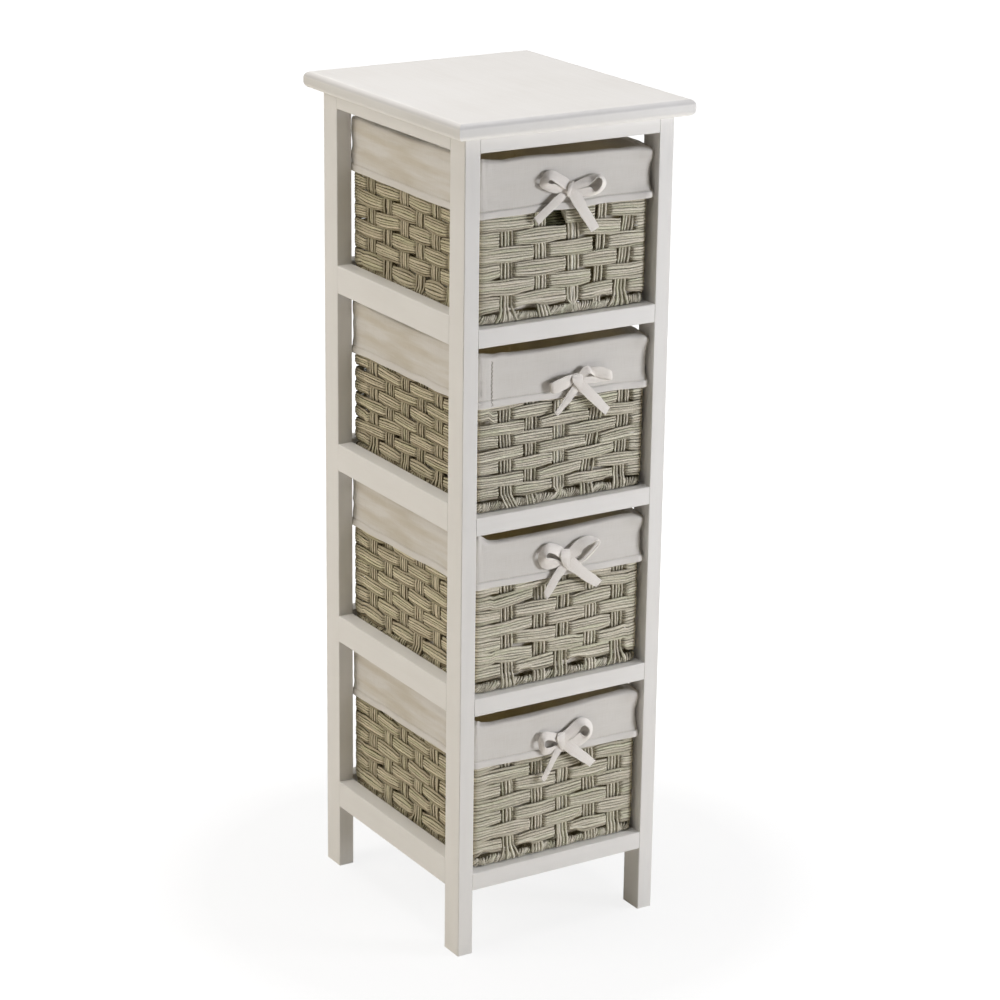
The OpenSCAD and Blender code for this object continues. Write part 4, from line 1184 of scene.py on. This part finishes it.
# ---------------------------------------------------------------- ribbons
# Each strip lies between two edge curves: rows of (x, out, height) of one edge, then of the other, in mm. x and height are on the
# basket's front, height over its underside, and out is how far it stands off towards the viewer from the cloth.
BOWS = {
    1: {
        "loop_left": [(3.9, 3, 120.6, -0.6, 4.5, 115.5), (1.8, 2.6, 125.7, -2.8, 5.5, 117.6), (-3.3, 2.2, 130.1, -8.6, 7, 121.3),
            (-10.4, 2, 134.6, -15.8, 8.5, 126.3), (-18, 1.8, 137.8, -21.1, 9.5, 129.8), (-24.8, 1.6, 136.5, -24.3, 10, 131.4),
            (-29.4, 1.6, 131.7, -26, 10, 130.3), (-30.9, 1.8, 126.6, -25.4, 9.5, 128.5), (-29.2, 2.2, 123, -22.2, 8, 127),
            (-23.3, 2.6, 119.7, -16.5, 6.5, 126.1), (-15.7, 2.6, 116.7, -9.9, 5.2, 123.3), (-8.5, 2.6, 115.8, -4.4, 4.2, 120.3),
            (-1.3, 2.6, 115.2, 0, 3.4, 118.6)],
        "loop_right": [(2.3, 3, 121.4, 2.2, 4.5, 118.6), (6.1, 2.6, 124.4, 6.3, 5.5, 118.4), (13.1, 2.2, 126.3, 12.4, 6.5, 119.9),
            (20.5, 1.8, 128.2, 18.9, 7.5, 121.2), (27.1, 1.5, 129.5, 22.7, 8.5, 124.6), (33.3, 1.4, 128.9, 26, 9.2, 128),
            (38.6, 1.3, 125.8, 29.3, 9.8, 127.6), (41.4, 1.3, 121.4, 31.6, 10, 124.6), (40.9, 1.4, 117, 30.9, 9.6, 119.9),
            (36.4, 1.8, 112.8, 28.2, 8.6, 115.8), (29.4, 2.2, 110.3, 24.6, 7.4, 115.1), (21.4, 2.6, 109.7, 21.9, 6.4, 118.9),
            (13.5, 2.8, 111.3, 14.1, 5.4, 119), (6.2, 2.8, 114.4, 7.2, 4.2, 118), (1.9, 2.8, 116.7, 2.9, 3.4, 118.3)],
        "tail_left": [(2, 2.5, 120.7, 3.5, 2.5, 115.6), (-6.2, 3.4, 118.9, -1.7, 4, 113.2), (-14.7, 4.2, 114.2, -9.5, 5.2, 107.7),
            (-23.3, 4.4, 107.8, -17.9, 5.4, 101.3), (-31.4, 4, 101.3, -26.1, 4.8, 95.1), (-37.3, 3.2, 96.4, -32.5, 3.8, 89.3)],
        "tail_right": [(1.5, 2.5, 121.6, 6.2, 2.5, 124.4), (-1.4, 4.6, 113.5, 11.2, 4, 117.6), (4.6, 5.8, 103, 15, 5, 109.1),
            (11.5, 5.8, 93.1, 21.7, 5.2, 97.7), (18.9, 5.2, 83.5, 28.6, 4.8, 87.5), (24.3, 4.4, 76.3, 33.6, 4, 80.1)],
        "knot": [(5.8, 3, 125.5, 1.5, 3, 126), (2.7, 7, 125.5, -1.9, 7, 125.1), (-0.5, 10.5, 122.6, -5.4, 10.2, 121.2),
            (-1.6, 10, 118.3, -5.7, 9.6, 117.1), (-1.4, 7, 113.9, -3.3, 6.4, 113.5), (0, 3, 111.8, -0.9, 3, 112.1)],
    },
    2: {
        "loop_left": [(12.7, 3, 120.8, 11.1, 3, 114.2), (6.9, 5, 123.3, 7.1, 5, 113.8), (-0.8, 6.4, 123.1, -0.5, 6.4, 110.8),
            (-9.1, 7.4, 121.5, -8.7, 7.2, 108.6), (-15.3, 7.2, 119.8, -14.1, 7, 108), (-17.3, 5.6, 118.3, -16.3, 5.4, 108.6),
            (-16.2, 3.6, 117.3, -15.2, 3.4, 108.4), (-11.6, 2, 117.3, -10.5, 2, 107.7), (-2.7, 1.6, 119, -2.5, 1.6, 108.4),
            (7.3, 2, 120.7, 7.5, 2, 113.1), (13.2, 2.2, 120.5, 11.7, 2.2, 113.9)],
        "loop_right": [(12.7, 3, 120.8, 17.2, 3, 113.5), (14.4, 4, 123.7, 18.9, 5, 116.2), (18.3, 4.2, 127.4, 21.4, 7, 119.8),
            (23, 4.4, 129.4, 24.3, 8.4, 122.3), (26.6, 5.4, 128.2, 29.1, 5.6, 119.4), (30.3, 7.4, 127.9, 34.1, 3.6, 116.9),
            (37.9, 8, 127.3, 41.3, 4.4, 114.5), (45.7, 7.6, 123.5, 47.9, 4.8, 112.2), (50.2, 5.4, 119.8, 51.4, 3.6, 111.1),
            (50.2, 3, 118.2, 50.7, 2, 110.3), (42.4, 1.6, 117.9, 41.8, 1.5, 110.4), (30.1, 1.8, 117.4, 29.4, 1.8, 110.7),
            (17.5, 2.4, 118.6, 17.6, 2.4, 112.5)],
        "tail_left": [(10.9, 2.6, 115.8, 15.8, 2.6, 112.8), (7.4, 3.8, 111.9, 14, 4.4, 106.6), (2.2, 4.8, 106.3, 8, 5.6, 100.7),
            (-3.2, 5, 99.5, 2.2, 5.8, 95), (-8, 4.6, 93.5, -3.5, 5.2, 89.9), (-11.7, 3.8, 88.5, -8, 4.2, 84.7)],
        "tail_right": [(14.1, 3, 115.4, 17.9, 3, 119.5), (15.3, 5.2, 105.9, 23.1, 4.6, 112.5), (22.5, 6.2, 98.2, 30.5, 5.6, 105.3),
            (30.5, 6.2, 90.8, 37.9, 5.6, 97.5), (37.9, 5.6, 84.1, 44.1, 5.2, 90.7), (44.8, 4.6, 78.1, 49.8, 4.2, 84.9)],
        "knot": [(18.7, 3, 122.2, 10.1, 3, 123.1), (17.2, 7, 121.2, 5.9, 7, 122.8), (15.1, 10.4, 117.2, 3.6, 10.2, 119.7),
            (14.4, 10, 111.9, 5.5, 9.6, 115.5), (15.1, 7, 107.1, 10.8, 6.6, 110), (16.7, 3, 104.6, 14.3, 3, 107.1)],
    },
    3: {
        "loop_left": [(8.5, 3, 124.5, 3.5, 4, 118.8), (6, 2.6, 128.3, 0.6, 5.5, 121.1), (0.3, 2.2, 134.2, -5, 7, 125.3),
            (-6.4, 2, 138.3, -10.9, 8.5, 130.1), (-14.1, 1.8, 140.1, -17.4, 9.6, 132.9), (-20.1, 1.6, 137.7, -20.6, 10, 132.3),
            (-24.2, 1.6, 132.1, -21.5, 10, 130.7), (-25.5, 1.8, 126.4, -20.8, 9.6, 129), (-23.6, 2.2, 119.7, -18, 8.4, 127.6),
            (-18.9, 2.6, 115.8, -13.4, 7, 126.4), (-12, 2.8, 114.3, -7.3, 5.8, 124), (-5.5, 2.8, 114.6, -1.4, 4.6, 120.7),
            (1.6, 2.6, 116.2, 4.7, 3.6, 119.3)],
        "loop_right": [(3.5, 3, 124.6, 6.3, 4, 120), (5.8, 2.6, 129, 11.8, 5.5, 122), (11.8, 2.2, 134.2, 18.5, 6.8, 123.8),
            (18.1, 1.8, 138, 20.6, 8, 129.2), (24.9, 1.5, 140, 25.4, 8.8, 132.4), (32.4, 1.4, 139.3, 30.4, 9.4, 134.1),
            (39.3, 1.3, 136.4, 35, 9.8, 136.1), (43.3, 1.4, 132.8, 38, 10, 135.3), (43.3, 1.8, 129.9, 37.8, 9.8, 133.2),
            (39.4, 2.2, 125.4, 34.9, 9.2, 129.5), (32.6, 2.6, 120, 29.3, 8.2, 123.8), (25, 2.8, 115.1, 22.7, 7, 118.1),
            (17.5, 2.8, 114.3, 17, 5.6, 118.6), (10.1, 2.6, 116.4, 11, 4, 120)],
        "tail_left": [(2.4, 2.6, 122.8, 7.2, 2.6, 119.4), (-1.8, 3.8, 118.4, 5.8, 4.4, 112.7), (-8.1, 4.8, 111.8, -0.2, 5.8, 106.5),
            (-13.7, 5, 104.6, -5.8, 6, 99.7), (-17.5, 4.6, 98.1, -9.8, 5.4, 93.1), (-20.1, 3.8, 92, -16, 4.2, 84.2)],
        "tail_right": [(2.2, 3, 120.4, 5.8, 3, 126.5), (5.7, 5.2, 111.3, 12.6, 4.6, 123.1), (14.1, 6.2, 105.1, 21.4, 5.6, 114),
            (22.8, 6.2, 98, 29.5, 5.6, 106.3), (30.9, 5.6, 92.4, 38.1, 5.2, 99.6), (39, 4.6, 87.3, 45.8, 4.2, 92.7)],
        "knot": [(8.5, 3, 131, 0.5, 3, 131.9), (7.1, 7, 129.2, -3.2, 7, 131.3), (5.4, 10.4, 124.7, -5.5, 10.2, 127.2),
            (4.7, 10, 118.8, -3.5, 9.6, 121.6), (5.6, 7, 112.7, 1.7, 6.6, 114.8), (7.3, 3, 109.8, 5.2, 3, 111.5)],
    },
    4: {
        "loop_left": [(7.7, 3, 116.9, 3.3, 4, 112.7), (4.1, 2.8, 121.2, 0.4, 5.5, 113.6), (-3.1, 3.2, 125.1, -4.6, 7, 116.9),
            (-10.6, 3.6, 128, -10.7, 8.5, 120.6), (-17, 4, 129.2, -16.2, 9.6, 122), (-20.5, 3.6, 127.2, -18.8, 10, 121),
            (-22.1, 3, 121.4, -19.3, 10, 118.5), (-21.5, 2.8, 114.2, -18.5, 9.4, 116), (-18.9, 2.8, 107.6, -15.8, 8, 113.6),
            (-14.3, 2.8, 104.7, -11.4, 6.4, 112.6), (-8.6, 2.8, 104.7, -6.5, 5.2, 112.6), (-3.5, 2.8, 107.8, -1.6, 4.2, 112.5),
            (3.3, 2.6, 109.8, 3.7, 3.4, 113.5)],
        "loop_right": [(2.4, 3, 118, 5.2, 4, 114.3), (3.6, 2.6, 122.6, 9.9, 5.5, 115.6), (8.9, 2.2, 126.2, 16.3, 6.6, 118.1),
            (16, 1.8, 130.5, 21, 7.6, 122.7), (23.2, 1.5, 134.5, 23, 8.6, 127), (30.9, 1.4, 133.6, 26.3, 9.4, 128.4),
            (37.5, 1.3, 128.5, 29.4, 9.8, 126.8), (40.6, 1.3, 122, 31.3, 10, 123.6), (40, 1.4, 115.6, 31.9, 9.6, 119.4),
            (36.5, 1.8, 110.8, 29.6, 8.6, 116), (30.5, 2.2, 107.4, 25.9, 7.4, 118.1), (22.6, 2.6, 104.8, 22.6, 6.4, 121.1),
            (13.8, 2.8, 105.9, 15.7, 5.4, 116.9), (7, 2.8, 109.9, 8, 4, 114.5)],
        "tail_left": [(2.2, 2.6, 116.1, 6.1, 2.6, 113.6), (-2.5, 3.8, 112.1, 4.1, 4.4, 106.8), (-7.3, 4.8, 104.1, -2, 5.6, 99.8),
            (-11.8, 5, 95.9, -6.9, 5.8, 92.2), (-15.8, 4.6, 87.9, -11.2, 5.2, 84.2), (-19.9, 3.8, 80.6, -15.1, 4.2, 76.6)],
        "tail_right": [(3, 3, 113.5, 6.7, 3, 118.8), (5.5, 5.2, 106.4, 11.5, 4.6, 115.1), (13.7, 6.2, 99.1, 20.6, 5.6, 107.6),
            (22.1, 6.2, 92.6, 28.3, 5.6, 101), (29.4, 5.6, 87.3, 35.7, 5.2, 94.2), (36.4, 4.6, 82.1, 42.9, 4.2, 87)],
        "knot": [(7.1, 3, 124.1, 1, 3, 124.3), (5.5, 7, 122.9, -3.1, 7, 124.2), (3.8, 10.2, 118.6, -5.5, 10, 120.8),
            (3.4, 9.8, 112.9, -3.5, 9.4, 115.6), (4.2, 7, 107.7, 1.1, 6.6, 109.1), (5.8, 3, 104.9, 4.3, 3, 105.9)],
    },
}


def catmull(pts, per):
    pts = np.asarray(pts, float)
    p = np.vstack([2 * pts[0] - pts[1], pts, 2 * pts[-1] - pts[-2]])
    out = []
    for i in range(1, len(p) - 2):
        t = np.linspace(0, 1, per, endpoint=False)[:, None]
        a, b, c, d = p[i - 1], p[i], p[i + 1], p[i + 2]
        out.append(0.5 * ((2 * b) + (-a + c) * t + (2 * a - 5 * b + 4 * c - d) * t ** 2 + (-a + 3 * b - 3 * c + d) * t ** 3))
    out.append(pts[-1:])
    return np.vstack(out)


def strip(name, n, rows, rng, cup, groove, end=False):
    """A tape lofted between its two edge curves, rounded outwards across and lightly grooved where its edges are folded in."""
    per = 7
    rows = np.asarray(rows, float)
    for q in (0, 3):
        back = (0.46 if name.endswith("knot") else 0.34) * np.clip(rows[:, q + 1] - 1.4, 0, None)
        rows[:, q + 1] -= back
        rows[:, q] += 0.55 * back
        rows[:, q + 2] -= 0.32 * back
    both = catmull(rows, per)
    a, b = both[:, :3], both[:, 3:]
    mid = (a + b) / 2
    tang = np.gradient(mid, axis=0)
    tang /= np.linalg.norm(tang, axis=1, keepdims=True)
    nor = np.cross(tang, b - a)
    nor /= np.linalg.norm(nor, axis=1, keepdims=True)
    if nor[:, 1].sum() < 0:
        nor = -nor
    arc = np.concatenate([[0], np.cumsum(np.linalg.norm(np.diff(mid, axis=0), axis=1))]) * MM
    k = 13
    c = np.linspace(-1, 1, k)
    wide = np.linalg.norm(b - a, axis=1)
    ripple = smooth_noise(rng, 0.2, 0.016, 0.22)(arc)
    edge_a = smooth_noise(rng, 0.2, 0.011, 0.16)(arc)
    edge_b = smooth_noise(rng, 0.2, 0.011, 0.16)(arc)
    V = a[:, None] * ((1 - c) / 2)[None, :, None] + b[:, None] * ((1 + c) / 2)[None, :, None]
    lift = cup * (1 - c ** 2)[None] - groove * (np.exp(-((np.abs(c) - 0.62) / 0.10) ** 2))[None] * (0.7 + 0.3 * np.sin(arc / 0.007))[:, None]
    lift = lift + ripple[:, None] * c[None] * 0.6
    V = V + nor[:, None] * lift[:, :, None]
    V = V + ((b - a) / wide[:, None])[:, None] * (np.where(c < -0.99, edge_a[:, None], 0) + np.where(c > 0.99, edge_b[:, None], 0))[:, :, None]
    if end:
        V[-1] += tang[-1] * rng.uniform(-0.45, 0.35, k)[:, None]
    m = len(V)
    CU = np.empty((m, k, 3))
    CU[:, :, 0] = c[None] * wide[:, None] / 2 * MM
    CU[:, :, 1] = arc[:, None]
    CU[:, :, 2] = 0.37 * len(name)
    W = np.empty_like(V)
    front = BCY - BD / 2 - 1.6 * MM
    W[:, :, 0] = V[:, :, 0] * MM
    W[:, :, 1] = front - V[:, :, 1] * MM
    W[:, :, 2] = BZ[n] + V[:, :, 2] * MM
    i = np.arange(m - 1)[:, None]
    j = np.arange(k - 1)[None]
    quads = np.stack([i * k + j, i * k + j + 1, (i + 1) * k + j + 1, (i + 1) * k + j], -1).reshape(-1, 4)
    o = make_object(name, W.reshape(-1, 3), quads, RIBBON, {"cu": ("FLOAT_VECTOR", CU.reshape(-1, 3))})
    area = sum(p.area for p in o.data.polygons)
    sol = o.modifiers.new("thickness", "SOLIDIFY")
    sol.thickness = 0.75 * MM
    sol.edge_crease_rim = 1.0
    sol.offset = 0
    sub = o.modifiers.new("soft", "SUBSURF")
    sub.levels = sub.render_levels = 1
    apply(o)
    # threads let go at the cut end
    fray = None
    if end:
        f = Batch()
        el, unit = ellipse(4, 0.11 * MM, 0.11 * MM)
        w0, w1 = W[-1], W[-2]
        d = (w0 - w1).mean(0)
        d /= np.linalg.norm(d)
        for q in range(22):
            u = rng.uniform(0.02, 0.98) * (k - 1)
            i0 = int(u)
            p0 = w0[i0] * (1 - u + i0) + w0[i0 + 1] * (u - i0) - d * 0.8 * MM
            ln = rng.uniform(1.1, 2.6) * MM
            bend = rng.normal(0, 0.35, 3) * np.array([1, 0.5, 1])
            pts = np.array([p0 + (d + bend * t * 0.6) * ln * t for t in (0, 0.4, 0.75, 1.0)])
            ring = np.empty((4, 4, 3))
            for r in range(4):
                fr = 1 - 0.5 * r / 3
                ring[r] = pts[r] + np.stack([el[:, 0] * fr, np.zeros(4), el[:, 1] * fr], 1)
            f.sweep(ring, np.arange(4) * 0.001, unit, 0.5)
        fray = f.build(name.replace("ribbon_tail", "ribbon_fray"), THREAD)
    return o, area, fray


def bow(n):
    rng = np.random.RandomState(70 + n)
    for tag, rows in BOWS[n].items():
        name = f"basket_{n}_ribbon_{tag}"
        tail = tag.startswith("tail")
        o, area, fray = strip(name, n, rows, rng, 0.30 if tag == "knot" else 0.40 if not tail else 0.18, 0.26, end=tail)
        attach(o, f"basket_{n}")
        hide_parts(f"basket_{n}_bow")
        if fray:
            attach(fray, f"basket_{n}")


for n in range(1, 5):
    bow(n)


# ---------------------------------------------------------------- stage and light
def stage():
    """A pale paper sweep: what the camera sees of it is nearly white, and it throws back soft light with a warm cast."""
    m = bpy.data.materials.new("floor_paper")
    m.use_nodes = True
    t = m.node_tree
    t.nodes.clear()
    n = Net(t)
    out = n.node("ShaderNodeOutputMaterial")
    pos = n.node("ShaderNodeTexCoord").outputs["Object"]
    far = n.node("ShaderNodeVectorMath", operation="LENGTH")
    n.put(far.inputs[0], pos)

    def pair(albedo, glow, strength):
        d = n.node("ShaderNodeBsdfDiffuse")
        d.inputs["Color"].default_value = (*albedo, 1)
        e = n.node("ShaderNodeEmission")
        e.inputs["Color"].default_value = (*glow, 1)
        n.put(e.inputs["Strength"], strength)
        a = n.node("ShaderNodeAddShader")
        t.links.new(d.outputs[0], a.inputs[0])
        t.links.new(e.outputs[0], a.inputs[1])
        return a.outputs[0]

    bounce = pair((0.81, 0.775, 0.71), (1.0, 0.85, 0.6), 0.02)
    seen = pair((0.15, 0.15, 0.15), (1, 1, 1), n.range(far.outputs["Value"], 0.28, 0.62, 0.84, 1.10))
    path = n.node("ShaderNodeLightPath")
    mix = n.node("ShaderNodeMixShader")
    t.links.new(path.outputs["Is Camera Ray"], mix.inputs[0])
    t.links.new(bounce, mix.inputs[1])
    t.links.new(seen, mix.inputs[2])
    t.links.new(mix.outputs[0], out.inputs["Surface"])
    segs = 40
    R = 9.0
    verts = [(0, 0, 0)] + [(R * math.cos(2 * math.pi * i / segs), R * math.sin(2 * math.pi * i / segs), 0) for i in range(segs)]
    faces = [(0, i + 1, (i + 1) % segs + 1) for i in range(segs)]
    me = bpy.data.meshes.new("floor")
    me.from_pydata(verts, [], faces)
    me.materials.append(m)
    o = bpy.data.objects.new("floor", me)
    scene.collection.objects.link(o)
    return o


stage()


def area_light(name, direction, distance, size, power, color, target=(0, 0, 0.42)):
    d = Vector(direction).normalized()
    data = bpy.data.lights.new(name, "AREA")
    data.shape = "DISK"
    data.size = size
    data.energy = power
    data.color = color
    o = bpy.data.objects.new(name, data)
    scene.collection.objects.link(o)
    o.location = Vector(target) + d * distance
    o.rotation_mode = "QUATERNION"
    o.rotation_quaternion = d.to_track_quat("Z", "Y")
    return o


area_light("key", (0.77, -0.64, 0.10), 2.6, 0.9, 49.6, (0.945, 0.957, 1.0))
area_light("left_high", (-0.9, 0.15, 0.8), 2.6, 1.6, 15.0, (1.0, 0.958, 0.885))
area_light("left_low", (-0.92, 0.42, 0.25), 2.6, 1.6, 19.5, (1.0, 0.94, 0.85))
area_light("back", (-0.2, 0.9, 0.7), 2.6, 1.6, 6.0, (1.0, 0.96, 0.90))
area_light("top", (0.0, 0.0, 1.0), 2.4, 1.6, 43.0, (1.0, 0.986, 0.985))

world = bpy.data.worlds.new("studio")
scene.world = world
world.use_nodes = True
wt = world.node_tree
wt.nodes.clear()
wn = Net(wt)
wout = wn.node("ShaderNodeOutputWorld")
bg_seen = wn.node("ShaderNodeBackground")
bg_seen.inputs["Color"].default_value = (1, 1, 1, 1)
bg_seen.inputs["Strength"].default_value = 1.05
bg_light = wn.node("ShaderNodeBackground")
bg_light.inputs["Color"].default_value = (1.0, 0.97, 0.93, 1)
bg_light.inputs["Strength"].default_value = 0.02
path = wn.node("ShaderNodeLightPath")
mixer = wn.node("ShaderNodeMixShader")
wt.links.new(path.outputs["Is Camera Ray"], mixer.inputs[0])
wt.links.new(bg_light.outputs[0], mixer.inputs[1])
wt.links.new(bg_seen.outputs[0], mixer.inputs[2])
wt.links.new(mixer.outputs[0], wout.inputs["Surface"])

scene.view_settings.view_transform = "Standard"
scene.view_settings.look = "None"
scene.view_settings.exposure = 0.0
scene.view_settings.gamma = 1.0
